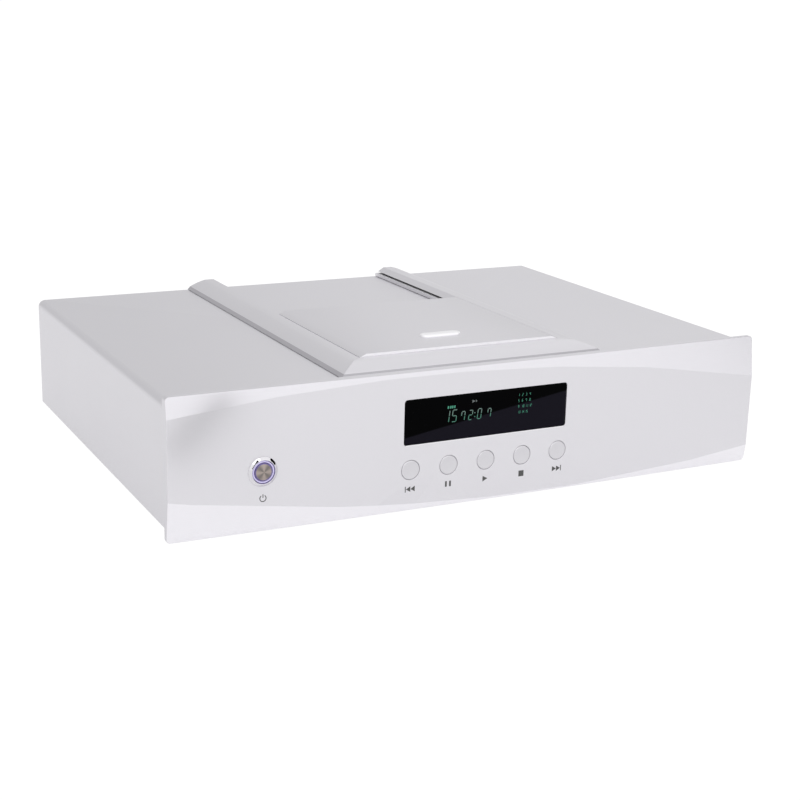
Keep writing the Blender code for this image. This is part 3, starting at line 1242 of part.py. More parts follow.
def main():
    clear_scene()
    shop = Workshop()
    build_front_panel(shop)
    build_display(shop)
    build_buttons(shop)
    build_front_board(shop)
    build_power_switch(shop)
    build_main_cover(shop)
    build_base_plate(shop)
    build_front_sub_panel(shop)
    build_rear_panel(shop)
    build_feet(shop)
    build_rail(shop, "left_guide_rail", -1)
    build_rail(shop, "right_guide_rail", 1)
    build_front_bar(shop)
    build_lid(shop)
    build_disc_well(shop)
    build_turntable(shop)
    build_transport_chassis(shop)
    build_dampers(shop)
    build_rods(shop)
    build_sled(shop)
    build_gears(shop)
    build_transformer(shop)
    build_boards(shop)
    build_heat_sink(shop)
    build_jacks(shop)
    build_inlet(shop)


main()
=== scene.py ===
"""Dressed model of a top-loading disc player with a lid that slides between two rails.

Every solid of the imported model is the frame. A class for each sub-assembly shows the solid with its own
finish, or puts a finer piece in its place, and adds the prints, lit figures and screws that sit on it.
"""

import json
import logging
from dataclasses import dataclass, field, replace
from enum import Enum
from math import cos, radians, sin
from typing import ClassVar

import bmesh
import bpy
import numpy as np
from mathutils import Matrix, Vector


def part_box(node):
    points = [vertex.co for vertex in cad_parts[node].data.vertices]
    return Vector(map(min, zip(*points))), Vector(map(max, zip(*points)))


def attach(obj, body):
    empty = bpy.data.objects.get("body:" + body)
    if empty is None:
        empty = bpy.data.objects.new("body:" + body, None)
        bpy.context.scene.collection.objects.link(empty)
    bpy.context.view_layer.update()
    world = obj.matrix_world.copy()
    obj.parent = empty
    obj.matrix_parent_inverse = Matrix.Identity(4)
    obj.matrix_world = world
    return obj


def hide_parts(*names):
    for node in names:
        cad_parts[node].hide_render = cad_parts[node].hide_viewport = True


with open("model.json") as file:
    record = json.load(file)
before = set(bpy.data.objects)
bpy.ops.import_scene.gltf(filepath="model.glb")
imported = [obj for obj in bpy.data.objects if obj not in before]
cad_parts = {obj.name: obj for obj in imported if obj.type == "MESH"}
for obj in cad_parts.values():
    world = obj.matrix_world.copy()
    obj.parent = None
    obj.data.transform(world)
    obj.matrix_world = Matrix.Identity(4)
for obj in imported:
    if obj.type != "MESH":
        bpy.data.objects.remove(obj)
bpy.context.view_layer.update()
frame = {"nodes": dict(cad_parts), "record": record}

LOG = logging.getLogger("disc_player")
MM = 0.001
TURN = 2.0 * np.pi
ROOT = "player"
SLOT_OF = {row["node"]: row["material_slot"] for row in frame["record"]["subparts"]}
BODY_OF = {node: body for body, nodes in frame["record"]["behaviour"]["bodies"].items() for node in nodes}

Colour = tuple[float, float, float]
Pair = tuple[float, float]
Triple = tuple[float, float, float]
Socket = bpy.types.NodeSocket
Surface = tuple[np.ndarray, np.ndarray]
Box = tuple[Vector, Vector]


# Finishes

BRUSH_STRETCH = (0.02, 1.0, 1.0)
CLOUD_SCALE = 14.0
COAT_ROUGHNESS = 0.05


class Texture(Enum):
    """How a surface is worked, which sets the pattern that its node group draws."""

    BLASTED = "blasted"
    BRUSHED = "brushed"
    TURNED = "turned"
    MOULDED = "moulded"
    SMOOTH = "smooth"
    WOUND = "wound"
    SLANTED = "slanted"


def add_node(tree: bpy.types.NodeTree, kind: str, **values: object) -> bpy.types.Node:
    """Adds a node and sets its properties.

    Args:
        tree: The tree that takes the node.
        kind: Blender's name of the node type.
        values: Properties of the node, by name.

    Returns:
        The new node.
    """
    node = tree.nodes.new(kind)
    for key, value in values.items():
        setattr(node, key, value)
    return node


def math_node(tree: bpy.types.NodeTree, operation: str, first: Socket | float,
              second: Socket | float | None = None) -> Socket:
    """Adds a Math node fed by sockets or plain numbers.

    Args:
        tree: The tree that takes the node.
        operation: Blender's name of the operation.
        first: The first operand, a socket or a number.
        second: The second operand, a socket or a number, or None.

    Returns:
        The node's output socket.
    """
    node = add_node(tree, "ShaderNodeMath", operation=operation)
    for socket, value in zip(node.inputs, (first, second)):
        if isinstance(value, Socket):
            tree.links.new(value, socket)
        elif value is not None:
            socket.default_value = value
    return node.outputs[0]


def set_inputs(node: bpy.types.Node, values: dict[str, object]) -> None:
    """Sets the values of a node's inputs, by their labels."""
    for label, value in values.items():
        node.inputs[label].default_value = value


def drawn_pattern(tree: bpy.types.NodeTree, texture: Texture, place: Socket, scale: Socket) -> Socket:
    """Draws the pattern of one texture as a value from 0 to 1.

    Blasted is fine noise. Brushed is noise stretched along x. Turned is noise of the distance from the
    z axis, so it makes rings. Moulded is noise over the cells of a spark-eroded mould. Smooth is wide
    soft noise. Wound is a sine of the angle round the z axis. Slanted rises from 0 to 1 along y, over a
    length of one part in scale about the x axis.

    Args:
        tree: The node group that holds the pattern.
        texture: How the surface is worked.
        place: The socket that gives the position.
        scale: The socket that gives the pattern's scale per metre.

    Returns:
        The socket that gives the pattern's value.
    """
    links = tree.links
    if texture in (Texture.SLANTED, Texture.TURNED, Texture.WOUND):
        parts = add_node(tree, "ShaderNodeSeparateXYZ")
        links.new(place, parts.inputs[0])
        x, y = parts.outputs[0], parts.outputs[1]
    if texture is Texture.SLANTED:
        ramp = add_node(tree, "ShaderNodeMapRange", interpolation_type="SMOOTHSTEP")
        links.new(math_node(tree, "MULTIPLY", y, scale), ramp.inputs["Value"])
        set_inputs(ramp, {"From Min": -0.5, "From Max": 0.5})
        return ramp.outputs[0]
    if texture is Texture.WOUND:
        wave = math_node(tree, "SINE", math_node(tree, "MULTIPLY", math_node(tree, "ARCTAN2", y, x), scale))
        return math_node(tree, "ADD", math_node(tree, "MULTIPLY", wave, 0.5), 0.5)
    if texture is Texture.TURNED:
        squares = [math_node(tree, "POWER", part, 2.0) for part in (x, y)]
        radius = math_node(tree, "SQRT", math_node(tree, "ADD", *squares))
        rings = add_node(tree, "ShaderNodeTexNoise", noise_dimensions="1D")
        links.new(math_node(tree, "MULTIPLY", radius, scale), rings.inputs["W"])
        set_inputs(rings, {"Scale": 1.0, "Detail": 2.0})
        return rings.outputs[0]
    if texture is Texture.BRUSHED:
        stretch = add_node(tree, "ShaderNodeVectorMath", operation="MULTIPLY")
        stretch.inputs[1].default_value = BRUSH_STRETCH
        links.new(place, stretch.inputs[0])
        place = stretch.outputs[0]
    noise = add_node(tree, "ShaderNodeTexNoise", noise_dimensions="3D")
    set_inputs(noise, {"Detail": 1.0 if texture is Texture.SMOOTH else 3.0})
    links.new(place, noise.inputs["Vector"])
    links.new(scale, noise.inputs["Scale"])
    if texture is not Texture.MOULDED:
        return noise.outputs[0]
    cells = add_node(tree, "ShaderNodeTexVoronoi", feature="F1")
    links.new(place, cells.inputs["Vector"])
    links.new(scale, cells.inputs["Scale"])
    return math_node(tree, "MULTIPLY", cells.outputs["Distance"], noise.outputs[0])


def worked_surface(texture: Texture) -> bpy.types.NodeTree:
    """Makes, once, the node group of a texture.

    The colour goes from Color to Shade with the pattern. The roughness is Roughness plus Spread times
    the pattern and a wide soft cloud, both less a half. The height is the pattern itself.

    Args:
        texture: How the surface is worked.

    Returns:
        The node group, with outputs Color, Roughness and Height.
    """
    name = f"surface_{texture.value}"
    known = bpy.data.node_groups.get(name)
    if known:
        return known
    tree = bpy.data.node_groups.new(name, "ShaderNodeTree")
    sockets = {"INPUT": {"Vector": "Vector", "Color": "Color", "Shade": "Color", "Roughness": "Float",
                         "Spread": "Float", "Scale": "Float"},
               "OUTPUT": {"Color": "Color", "Roughness": "Float", "Height": "Float"}}
    for way, kinds in sockets.items():
        for label, kind in kinds.items():
            tree.interface.new_socket(label, in_out=way, socket_type=f"NodeSocket{kind}")
    given = add_node(tree, "NodeGroupInput").outputs
    result = add_node(tree, "NodeGroupOutput").inputs
    pattern = drawn_pattern(tree, texture, given["Vector"], given["Scale"])
    cloud = add_node(tree, "ShaderNodeTexNoise")
    set_inputs(cloud, {"Scale": CLOUD_SCALE})
    tree.links.new(given["Vector"], cloud.inputs["Vector"])
    blend = add_node(tree, "ShaderNodeMix", data_type="RGBA")
    tree.links.new(pattern, blend.inputs["Factor"])
    tree.links.new(given["Color"], blend.inputs[6])
    tree.links.new(given["Shade"], blend.inputs[7])
    tree.links.new(blend.outputs[2], result["Color"])
    wander = math_node(tree, "SUBTRACT", math_node(tree, "ADD", pattern, cloud.outputs[0]), 1.0)
    spread = math_node(tree, "MULTIPLY", wander, given["Spread"])
    tree.links.new(math_node(tree, "ADD", given["Roughness"], spread), result["Roughness"])
    tree.links.new(pattern, result["Height"])
    return tree


@dataclass(frozen=True)
class Finish:
    """One material: its colour, the shade its pattern goes to, and how the surface is worked."""

    name: str
    color: Colour
    shade: Colour
    texture: Texture
    metallic: float = 0.0
    roughness: float = 0.5
    spread: float = 0.08
    scale: float = 1500.0
    relief: float = 0.000008
    specular: float = 0.5
    coat: float = 0.0
    glow: float = 0.0
    centre: Triple = (0.0, 0.0, 0.0)
    turn: Triple = (0.0, 0.0, 0.0)

    def material(self) -> bpy.types.Material:
        """Makes the material, once.

        Returns:
            The material, with its pattern on Object coordinates.
        """
        known = bpy.data.materials.get(self.name)
        if known:
            return known
        made = bpy.data.materials.new(self.name)
        made.use_nodes = True
        made.diffuse_color = (*self.color, 1.0)
        tree = made.node_tree
        shader = tree.nodes["Principled BSDF"]
        set_inputs(shader, {"Metallic": self.metallic, "Specular IOR Level": self.specular,
                            "Coat Weight": self.coat, "Coat Roughness": COAT_ROUGHNESS})
        place = add_node(tree, "ShaderNodeTexCoord")
        mapping = add_node(tree, "ShaderNodeMapping", vector_type="TEXTURE")
        set_inputs(mapping, {"Location": self.centre, "Rotation": self.turn})
        surface = add_node(tree, "ShaderNodeGroup", node_tree=worked_surface(self.texture))
        set_inputs(surface, {"Color": (*self.color, 1.0), "Shade": (*self.shade, 1.0),
                             "Roughness": self.roughness, "Spread": self.spread, "Scale": self.scale})
        bump = add_node(tree, "ShaderNodeBump")
        set_inputs(bump, {"Distance": self.relief, "Strength": 1.0})
        for source, target in ((place.outputs["Object"], mapping.inputs["Vector"]),
                               (mapping.outputs["Vector"], surface.inputs["Vector"]),
                               (surface.outputs["Color"], shader.inputs["Base Color"]),
                               (surface.outputs["Roughness"], shader.inputs["Roughness"]),
                               (surface.outputs["Height"], bump.inputs["Height"]),
                               (bump.outputs["Normal"], shader.inputs["Normal"])):
            tree.links.new(source, target)
        if self.glow:
            tree.links.new(surface.outputs["Color"], shader.inputs["Emission Color"])
            set_inputs(shader, {"Emission Strength": self.glow})
        return made


def grey(level: float, tint: float = 0.0) -> Colour:
    """Gives a linear grey, with tint added to its blue and half of it taken from its green."""
    return (level, level - 0.5 * tint, level + tint)


FLAT_ON = (radians(90.0), 0.0, 0.0)
GLARE_TILT = (radians(90.0), radians(-9.3), 0.0)
STAR_TURN = (radians(90.0), radians(22.5), 0.0)
SPINDLE = (0.0, -0.05435, 0.0)
TRANSFORMER = (-0.135, 0.05935, 0.0)

SATIN = Finish("bead_blasted_aluminium", grey(0.74, 0.022), grey(0.71, 0.022), Texture.BLASTED, 0.8, 0.42,
               scale=2600.0)
FACET = Finish("cut_facet_aluminium", grey(0.87, 0.025), grey(0.84, 0.025), Texture.BRUSHED, 0.7, 0.38,
               scale=3200.0)
# The upper facet is the same cut aluminium, made darker as painted shade.
UPPER_FACET_PAINTED_SHADE = replace(FACET, name="upper_facet_painted_shade", color=grey(0.78, 0.025), shade=grey(0.75, 0.025))
# Painted highlight: near-white aluminium that stands in for the highlights on the lid's front face, the grip
# and the strip under the window.
PAINTED_HIGHLIGHT = Finish("painted_highlight_aluminium", grey(0.95, 0.015), grey(0.92, 0.015), Texture.SMOOTH, 0.5, 0.3,
                scale=300.0)
# Painted shade: dark aluminium for faces where shade falls, the feet of the frame and the underside of the
# faceplate.
PAINTED_SHADE = Finish("painted_shade_aluminium", grey(0.52, 0.02), grey(0.47, 0.02), Texture.BRUSHED, 0.8, 0.5,
                scale=2600.0)
BUTTON = Finish("turned_button_aluminium", grey(0.68, 0.02), grey(0.65, 0.02), Texture.TURNED, 0.8, 0.36,
                scale=4000.0)
# Painted violet glow: the lit ring's light on the rim of the power cap, painted into its colour.
PAINTED_VIOLET_GLOW = Finish("painted_violet_glow_rim", (0.13, 0.10, 0.27), (0.20, 0.17, 0.34), Texture.SMOOTH, 0.6, 0.35,
                    scale=500.0)
PRINT = Finish("screen_print_grey", grey(0.07), grey(0.06), Texture.MOULDED, roughness=0.6, scale=4000.0)
GREEN_LIT = Finish("lit_green_figure", (0.030, 0.125, 0.088), (0.085, 0.135, 0.118), Texture.SLANTED,
                   roughness=0.6, scale=260.0, glow=0.45, centre=(0.0, 0.0, 0.0625), turn=FLAT_ON)
BAR_LIT = Finish("lit_green_lamp", (0.03, 0.19, 0.12), (0.025, 0.155, 0.10), Texture.SMOOTH, roughness=0.6,
                 scale=700.0, glow=0.45)
WHITE_LIT = Finish("lit_white_figure", (0.08, 0.095, 0.095), (0.07, 0.08, 0.08), Texture.SMOOTH,
                   roughness=0.6, scale=700.0, glow=0.4)
WHITE_NYLON = Finish("white_nylon", grey(0.72), grey(0.66), Texture.MOULDED, roughness=0.5)
RED_NYLON = Finish("red_nylon", (0.55, 0.03, 0.03), (0.42, 0.02, 0.02), Texture.MOULDED, roughness=0.5)
BLACK_SCREW = Finish("blackened_screw", grey(0.06), grey(0.04), Texture.TURNED, 0.7, 0.4)
BRIGHT_SCREW = Finish("zinc_screw", grey(0.66), grey(0.58), Texture.TURNED, 0.9, 0.34)

BY_SLOT = {
    "satin_aluminium": SATIN,
    "polished_aluminium": BUTTON,
    "chrome": Finish("chrome_plate", grey(0.75, 0.02), grey(0.72, 0.02), Texture.SMOOTH, 1.0, 0.06,
                     spread=0.02, scale=200.0, relief=0.0),
    # The window's black is lighter on one side of a slanted line, as a painted reflection.
    "window_black": Finish("black_acrylic_painted_reflection", (0.0075, 0.0068, 0.0110), (0.0004, 0.0004, 0.0006),
                           Texture.SLANTED, roughness=0.05, spread=0.0, scale=900.0, relief=0.0,
                           specular=0.022, centre=(0.0, 0.0, 0.0612), turn=GLARE_TILT),
    "display_glass": Finish("dark_display_glass", (0.010, 0.020, 0.020), (0.014, 0.026, 0.024),
                            Texture.SMOOTH, roughness=0.12, scale=60.0),
    "halo_light": Finish("lit_violet_ring", (0.44, 0.39, 0.66), (0.60, 0.56, 0.78), Texture.SMOOTH,
                         roughness=0.3, scale=300.0, glow=0.2),
    "board_green": Finish("green_solder_mask", (0.020, 0.16, 0.055), (0.012, 0.11, 0.036), Texture.SMOOTH,
                          roughness=0.35, scale=220.0, coat=0.3),
    "zinc_steel": Finish("zinc_plated_sheet", grey(0.60, 0.01), grey(0.50, 0.01), Texture.BRUSHED, 0.9, 0.38,
                         scale=1800.0),
    "rubber_black": Finish("black_rubber", grey(0.022), grey(0.034), Texture.MOULDED, roughness=0.85,
                           scale=2200.0, relief=0.00003),
    "bay_grey": Finish("grained_grey_moulding", grey(0.085, 0.004), grey(0.115, 0.004), Texture.MOULDED,
                       roughness=0.62, scale=1500.0, relief=0.00003),
    "black_plastic": Finish("satin_black_moulding", grey(0.018), grey(0.028), Texture.MOULDED, roughness=0.45,
                            scale=1800.0, relief=0.00002),
    "gear_white": Finish("natural_acetal", (0.78, 0.77, 0.70), (0.72, 0.70, 0.62), Texture.SMOOTH,
                         roughness=0.42, scale=400.0),
    "lens_glass": Finish("coated_lens", (0.03, 0.06, 0.22), (0.10, 0.05, 0.24), Texture.SMOOTH,
                         roughness=0.03, scale=150.0, relief=0.0, coat=1.0),
    "polished_steel": Finish("turned_polished_steel", grey(0.66), grey(0.58), Texture.TURNED, 1.0, 0.2,
                             scale=3000.0, centre=SPINDLE),
    "winding_tape": Finish("yellow_winding_tape", (0.66, 0.44, 0.05), (0.50, 0.31, 0.03), Texture.WOUND,
                           roughness=0.3, scale=36.0, relief=0.0002, coat=0.4, centre=TRANSFORMER),
    "capacitor_sleeve": Finish("dark_blue_sleeve", (0.012, 0.018, 0.06), (0.02, 0.03, 0.09), Texture.SMOOTH,
                               roughness=0.25, scale=200.0, coat=0.5),
    "black_anodised": Finish("black_anodised_fins", grey(0.022), grey(0.034), Texture.BRUSHED, 0.5, 0.42),
    "gold_plate": Finish("gold_plated_barrel", (0.83, 0.60, 0.24), (0.74, 0.50, 0.17), Texture.TURNED, 1.0,
                         0.22, scale=3000.0),
}


# Pieces

# Each axis, then two directions square to it
AXES = {"+Z": ((0, 0, 1), (1, 0, 0), (0, 1, 0)), "-Z": ((0, 0, -1), (1, 0, 0), (0, 1, 0)),
        "+Y": ((0, 1, 0), (1, 0, 0), (0, 0, 1)), "-Y": ((0, -1, 0), (1, 0, 0), (0, 0, 1))}


def in_mm(box: Box) -> tuple[Vector, Vector, Vector]:
    """Gives the lowest corner, the highest corner and the middle of a box in metres, in millimetres."""
    low, high = (edge / MM for edge in box)
    return low, high, (low + high) / 2


def new_piece(name: str, mesh: bpy.types.Mesh, finish: Finish, body: str) -> bpy.types.Object:
    """Puts a mesh in the scene as a piece with its finish, riding on a body.

    Args:
        name: The piece's name.
        mesh: Its mesh, with its place in it.
        finish: Its finish.
        body: The body that carries it.

    Returns:
        The piece, at the origin.
    """
    piece = bpy.data.objects.new(name, mesh)
    bpy.context.scene.collection.objects.link(piece)
    mesh.materials.clear()
    mesh.materials.append(finish.material())
    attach(piece, body)
    LOG.info("%s rides on %s: %d faces", name, body, len(mesh.polygons))
    return piece


def solid_mesh(name: str, surfaces: list[Surface], crease: float = 30.0) -> bpy.types.Mesh:
    """Makes one mesh of closed surfaces, smooth but for edges turned by more than crease degrees.

    Args:
        name: The mesh's name.
        surfaces: Points in metres, one a row, and faces as rows of point numbers, for each surface.
        crease: The angle in degrees past which an edge stays sharp.

    Returns:
        The mesh, with its doubles merged and its faces turned outwards.
    """
    mesh = bpy.data.meshes.new(name)
    starts = np.cumsum([0] + [len(points) for points, _ in surfaces])
    faces = [list(dict.fromkeys(face)) for start, (_, rows) in zip(starts, surfaces)
             for face in (rows + start).tolist()]
    mesh.from_pydata(np.vstack([points for points, _ in surfaces]), [], faces)
    worked = bmesh.new()
    worked.from_mesh(mesh)
    bmesh.ops.remove_doubles(worked, verts=worked.verts, dist=1e-7)
    bmesh.ops.recalc_face_normals(worked, faces=worked.faces)
    worked.to_mesh(mesh)
    worked.free()
    mesh.shade_smooth()
    mesh.set_sharp_from_angle(angle=radians(crease))
    return mesh


def grid_faces(rows: int, columns: int) -> np.ndarray:
    """Gives the quads of a grid that closes on itself along its columns.

    Args:
        rows: The number of rings.
        columns: The points in each ring.

    Returns:
        Point numbers, four to a row.
    """
    i, j = np.meshgrid(np.arange(rows - 1), np.arange(columns), indexing="ij")
    k = (j + 1) % columns
    quads = [i * columns + j, i * columns + k, (i + 1) * columns + k, (i + 1) * columns + j]
    return np.stack(quads, -1).reshape(-1, 4)


def rounded_profile(corners: np.ndarray, radius: float, steps: int = 3) -> np.ndarray:
    """Rounds the inner corners of an open outline.

    Between the points A and C, radius before and after the corner B, the curve is
    (1 - t)^2 A + 2 t (1 - t) B + t^2 C for t from 0 to 1. Radius is held to under half of each side.

    Args:
        corners: The corners, one a row.
        radius: How far from a corner its curve starts.
        steps: The parts of each curve.

    Returns:
        The points of the rounded outline.
    """
    before, at, after = corners[:-2], corners[1:-1], corners[2:]
    back, ahead = before - at, after - at
    long_back = np.linalg.norm(back, axis=1, keepdims=True)
    long_ahead = np.linalg.norm(ahead, axis=1, keepdims=True)
    start = at + back / long_back * np.minimum(radius, 0.49 * long_back)
    end = at + ahead / long_ahead * np.minimum(radius, 0.49 * long_ahead)
    t = np.linspace(0.0, 1.0, steps + 1)[None, :, None]
    curve = (1 - t) ** 2 * start[:, None] + 2 * t * (1 - t) * at[:, None] + t ** 2 * end[:, None]
    return np.vstack([corners[:1], curve.reshape(-1, 2), corners[-1:]])


def lathe(profile: np.ndarray, centre: Triple, axis: str = "+Z", steps: int = 72) -> Surface:
    """Turns a profile about an axis.

    A point (r, h) of the profile, in millimetres, goes to centre + h * axis + r * (cos a * u + sin a * v)
    for the angle a from 0 to a full turn, where u and v are square to the axis.

    Args:
        profile: Radius and height of each point, one a row.
        centre: The place of the profile's origin, in millimetres.
        axis: The direction of the height.
        steps: The parts of the turn.

    Returns:
        The points in metres and the faces.
    """
    along, side, up = AXES[axis]
    angle = np.arange(steps) * TURN / steps
    ring = np.outer(np.cos(angle), side) + np.outer(np.sin(angle), up)
    points = profile[:, 1, None, None] * np.array(along) + profile[:, 0, None, None] * ring
    return (points.reshape(-1, 3) + np.array(centre)) * MM, grid_faces(len(profile), steps)


def turned_solid(rows: list[Pair], radius: float, centre: Triple, axis: str = "+Z",
                 steps: int = 72) -> Surface:
    """Turns a profile given by its corners, rounded by radius, about an axis."""
    return lathe(rounded_profile(np.array(rows, float), radius), centre, axis, steps)


def pill(half_x: float, half_y: float, radius: float, levels: np.ndarray, centre: Triple,
         steps: int = 12) -> Surface:
    """Stacks rounded rectangles that shrink by an inset at each level.

    A ring's point is corner + (radius - inset) * (cos a, sin a), where corner is the nearest of the four
    corner centres, and its height is the level's. A fan about its middle closes the first ring, and the last.

    Args:
        half_x: Half of the length, in millimetres.
        half_y: Half of the width.
        radius: The corner radius seen from above.
        levels: Inset and height of each level, one a row.
        centre: The middle of the foot of the stack.
        steps: The parts of each quarter turn.

    Returns:
        The points in metres and the faces.
    """
    angle = (np.arange(4)[:, None] * 0.25 + np.linspace(0.0, 0.25, steps + 1)[None, :]) * TURN
    sign = np.array([(1, 1), (-1, 1), (-1, -1), (1, -1)], float)
    corner = sign * (half_x - radius, half_y - radius)
    way = np.stack([np.cos(angle), np.sin(angle)], -1)
    flat = corner[None, :, None, :] + (radius - levels[:, 0])[:, None, None, None] * way[None]
    count = 4 * (steps + 1)
    high = np.broadcast_to(levels[:, 1, None, None], (len(levels), count, 1))
    points = np.concatenate([flat.reshape(len(levels), count, 2), high], -1).reshape(-1, 3)
    lids = np.array([points[:count].mean(0), points[-count:].mean(0)])
    turn = np.arange(count)
    fans = [np.column_stack([turn + first, (turn + 1) % count + first, np.full((count, 2), hub)])
            for first, hub in ((0, len(points)), (len(points) - count, len(points) + 1))]
    faces = np.vstack([grid_faces(len(levels), count), *fans])
    return (np.vstack([points, lids]) + np.array(centre)) * MM, faces


def prisms(shapes: np.ndarray, front: float, back: float) -> Surface:
    """Extrudes flat shapes that face the front, all with as many corners.

    A corner (x, z) gives the points (x, front, z) and (x, back, z).

    Args:
        shapes: The corners in millimetres, as shape by corner by (x, z).
        front: The y of the front faces.
        back: The y of the back faces.

    Returns:
        The points in metres and the faces, each with one repeated point where the shape needs it.
    """
    shapes = np.asarray(shapes, float)
    many, corners, _ = shapes.shape
    depth = np.array([front, back])[None, :, None]
    x = np.broadcast_to(shapes[:, None, :, 0], (many, 2, corners))
    z = np.broadcast_to(shapes[:, None, :, 1], (many, 2, corners))
    points = np.stack([x, np.broadcast_to(depth, x.shape), z], -1).reshape(-1, 3)
    hubs = points.reshape(many, 2, corners, 3).mean(2).reshape(-1, 3)
    start = np.arange(many)[:, None] * 2 * corners
    here = np.arange(corners)[None, :]
    after = (here + 1) % corners
    hub = many * 2 * corners + np.arange(many)[:, None] * 2 + np.zeros_like(here)
    sides = np.stack([start + here, start + after, start + corners + after, start + corners + here], -1)
    near = np.stack([start + here, start + after, hub, hub], -1)
    far = np.stack([start + corners + here, start + corners + after, hub + 1, hub + 1], -1)
    return np.vstack([points, hubs]) * MM, np.vstack([rows.reshape(-1, 4) for rows in (sides, near, far)])


def swept(section: np.ndarray, starts: np.ndarray, ends: np.ndarray, caps: list[list[int]],
          crosswise: bool = False) -> Surface:
    """Carries a closed section along y, or along x, between two ends of its own for each corner.

    The corner (a, z) with start s and end e gives the points (a, s, z) and (a, e, z), or (s, a, z) and
    (e, a, z) crosswise.

    Args:
        section: The corners in millimetres, in order round the section.
        starts: Where each corner starts.
        ends: Where each corner ends.
        caps: The corners of each flat part of an end.
        crosswise: True to carry the section along x.

    Returns:
        The points in metres and the faces, filled up with repeated points to one length.
    """
    count = len(section)
    points = np.vstack([np.column_stack([section[:, 0], way, section[:, 1]]) for way in (starts, ends)])
    if crosswise:
        points = points[:, [1, 0, 2]]
    here = np.arange(count)
    after = (here + 1) % count
    sides = np.column_stack([here, after, after + count, here + count])
    widest = max([4, *map(len, caps)])
    near = np.array([cap + cap[-1:] * (widest - len(cap)) for cap in caps])
    sides = np.hstack([sides, np.repeat(sides[:, -1:], widest - 4, axis=1)])
    return points * MM, np.vstack([sides, near, near + count])


def screw_heads(places: np.ndarray, axis: str, radius: float = 2.9, height: float = 1.6) -> list[Surface]:
    """Makes pan heads with a cross recess.

    On a polar grid of radius r and angle a, the height is height * (1 - (r / radius)^4 / 2), less the
    recess where the point lies within one of two crossed bars. The rim then drops to the seat.

    Args:
        places: The middle of each seat, in millimetres, one a row.
        axis: The direction that the heads face.
        radius: The radius of a head.
        height: The height of a head.

    Returns:
        A surface for each head.
    """
    share = np.array([0.0, 0.13, 0.16, 0.30, 0.45, 0.55, 0.60, 0.78, 0.92, 1.0, 1.0, 0.0])
    angle = np.arange(48) * TURN / 48
    x, y = np.outer(share, np.cos(angle)), np.outer(share, np.sin(angle))
    slot = (np.minimum(abs(x), abs(y)) < 0.15) & (np.maximum(abs(x), abs(y)) < 0.57)
    high = height * (1.0 - share[:, None] ** 4 / 2) - 0.55 * height * slot
    high[-2:] = 0.0
    direction, side, up = (np.array(way) for way in AXES[axis])
    head = high[..., None] * direction + radius * (x[..., None] * side + y[..., None] * up)
    return [((head.reshape(-1, 3) + place) * MM, grid_faces(len(share), len(angle)))
            for place in np.asarray(places, float)]


def stand_in(name: str, surfaces: list[Surface], node: str, finish: Finish | None = None,
             crease: float = 30.0) -> bpy.types.Object:
    """Makes a finer piece in the place of a solid.

    Args:
        name: The piece's name.
        surfaces: Its closed surfaces.
        node: The solid that it stands for.
        finish: Its finish, or None for that of the node's slot.
        crease: The angle in degrees past which an edge stays sharp.

    Returns:
        The piece.
    """
    slot = SLOT_OF[node]
    piece = new_piece(name, solid_mesh(name, surfaces, crease), finish or BY_SLOT[slot], BODY_OF[node])
    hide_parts(node)
    return piece


def added(name: str, surfaces: list[Surface], finish: Finish, body: str = ROOT) -> bpy.types.Object:
    """Makes a small piece that no solid stands for, on a body."""
    return new_piece(name, solid_mesh(name, surfaces), finish, body)


def break_edges(piece: bpy.types.Object, edge: float, least: float = 35.0) -> None:
    """Breaks a piece's sharp edges with a fine bevel.

    Args:
        piece: The piece.
        edge: The width of the bevel, in millimetres.
        least: The angle in degrees past which an edge is broken.
    """
    bevel = piece.modifiers.new("broken_edges", "BEVEL")
    bevel.width = edge * MM
    bevel.segments = 2
    bevel.limit_method = "ANGLE"
    bevel.angle_limit = radians(least)
    bevel.harden_normals = True


def refined(node: str, edge: float, crease: float = 28.0) -> bpy.types.Object:
    """Puts a copy of a solid in its place, with flat faces joined and its edges broken.

    Args:
        node: The solid.
        edge: The width of the broken edges, in millimetres, or zero for none.
        crease: The angle in degrees past which an edge stays sharp.

    Returns:
        The piece, in the finish of the solid's slot.
    """
    mesh = frame["nodes"][node].data.copy()
    worked = bmesh.new()
    worked.from_mesh(mesh)
    bmesh.ops.remove_doubles(worked, verts=worked.verts, dist=1e-6)
    bmesh.ops.dissolve_limit(worked, angle_limit=radians(0.4), verts=worked.verts, edges=worked.edges)
    worked.to_mesh(mesh)
    worked.free()
    mesh.shade_smooth()
    mesh.set_sharp_from_angle(angle=radians(crease))
    slot = SLOT_OF[node]
    piece = new_piece(f"dressed_{node}", mesh, BY_SLOT[slot], BODY_OF[node])
    if edge:
        break_edges(piece, edge)
    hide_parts(node)
    return piece


def part_finished(piece: bpy.types.Object, finish: Finish, chosen: np.ndarray) -> None:
    """Gives some faces of a piece another finish.

    Args:
        piece: The piece.
        finish: Their finish.
        chosen: True for each face that takes it.
    """
    index = np.empty(len(chosen), np.int32)
    piece.data.polygons.foreach_get("material_index", index)
    index[chosen] = len(piece.data.materials)
    piece.data.materials.append(finish.material())
    piece.data.polygons.foreach_set("material_index", index)


def face_looks(piece: bpy.types.Object) -> tuple[np.ndarray, np.ndarray]:
    """Gives the normal and the middle, in millimetres, of each face of a piece, one a row."""
    faces = piece.data.polygons
    normals, middles = np.empty(3 * len(faces)), np.empty(3 * len(faces))
    faces.foreach_get("normal", normals)
    faces.foreach_get("center", middles)
    return normals.reshape(-1, 3), middles.reshape(-1, 3) / MM


def finished(*nodes: str) -> None:
    """Gives solids that stay as they are the finish of their slot, in their objects' material slots."""
    for node in nodes:
        piece = frame["nodes"][node]
        material = BY_SLOT[SLOT_OF[node]].material()
        if not piece.material_slots:
            piece.data.materials.append(material)
        for place in piece.material_slots:
            place.material = material
        LOG.info("%s keeps its solid, in %s", node, material.name)


# Sub-assemblies

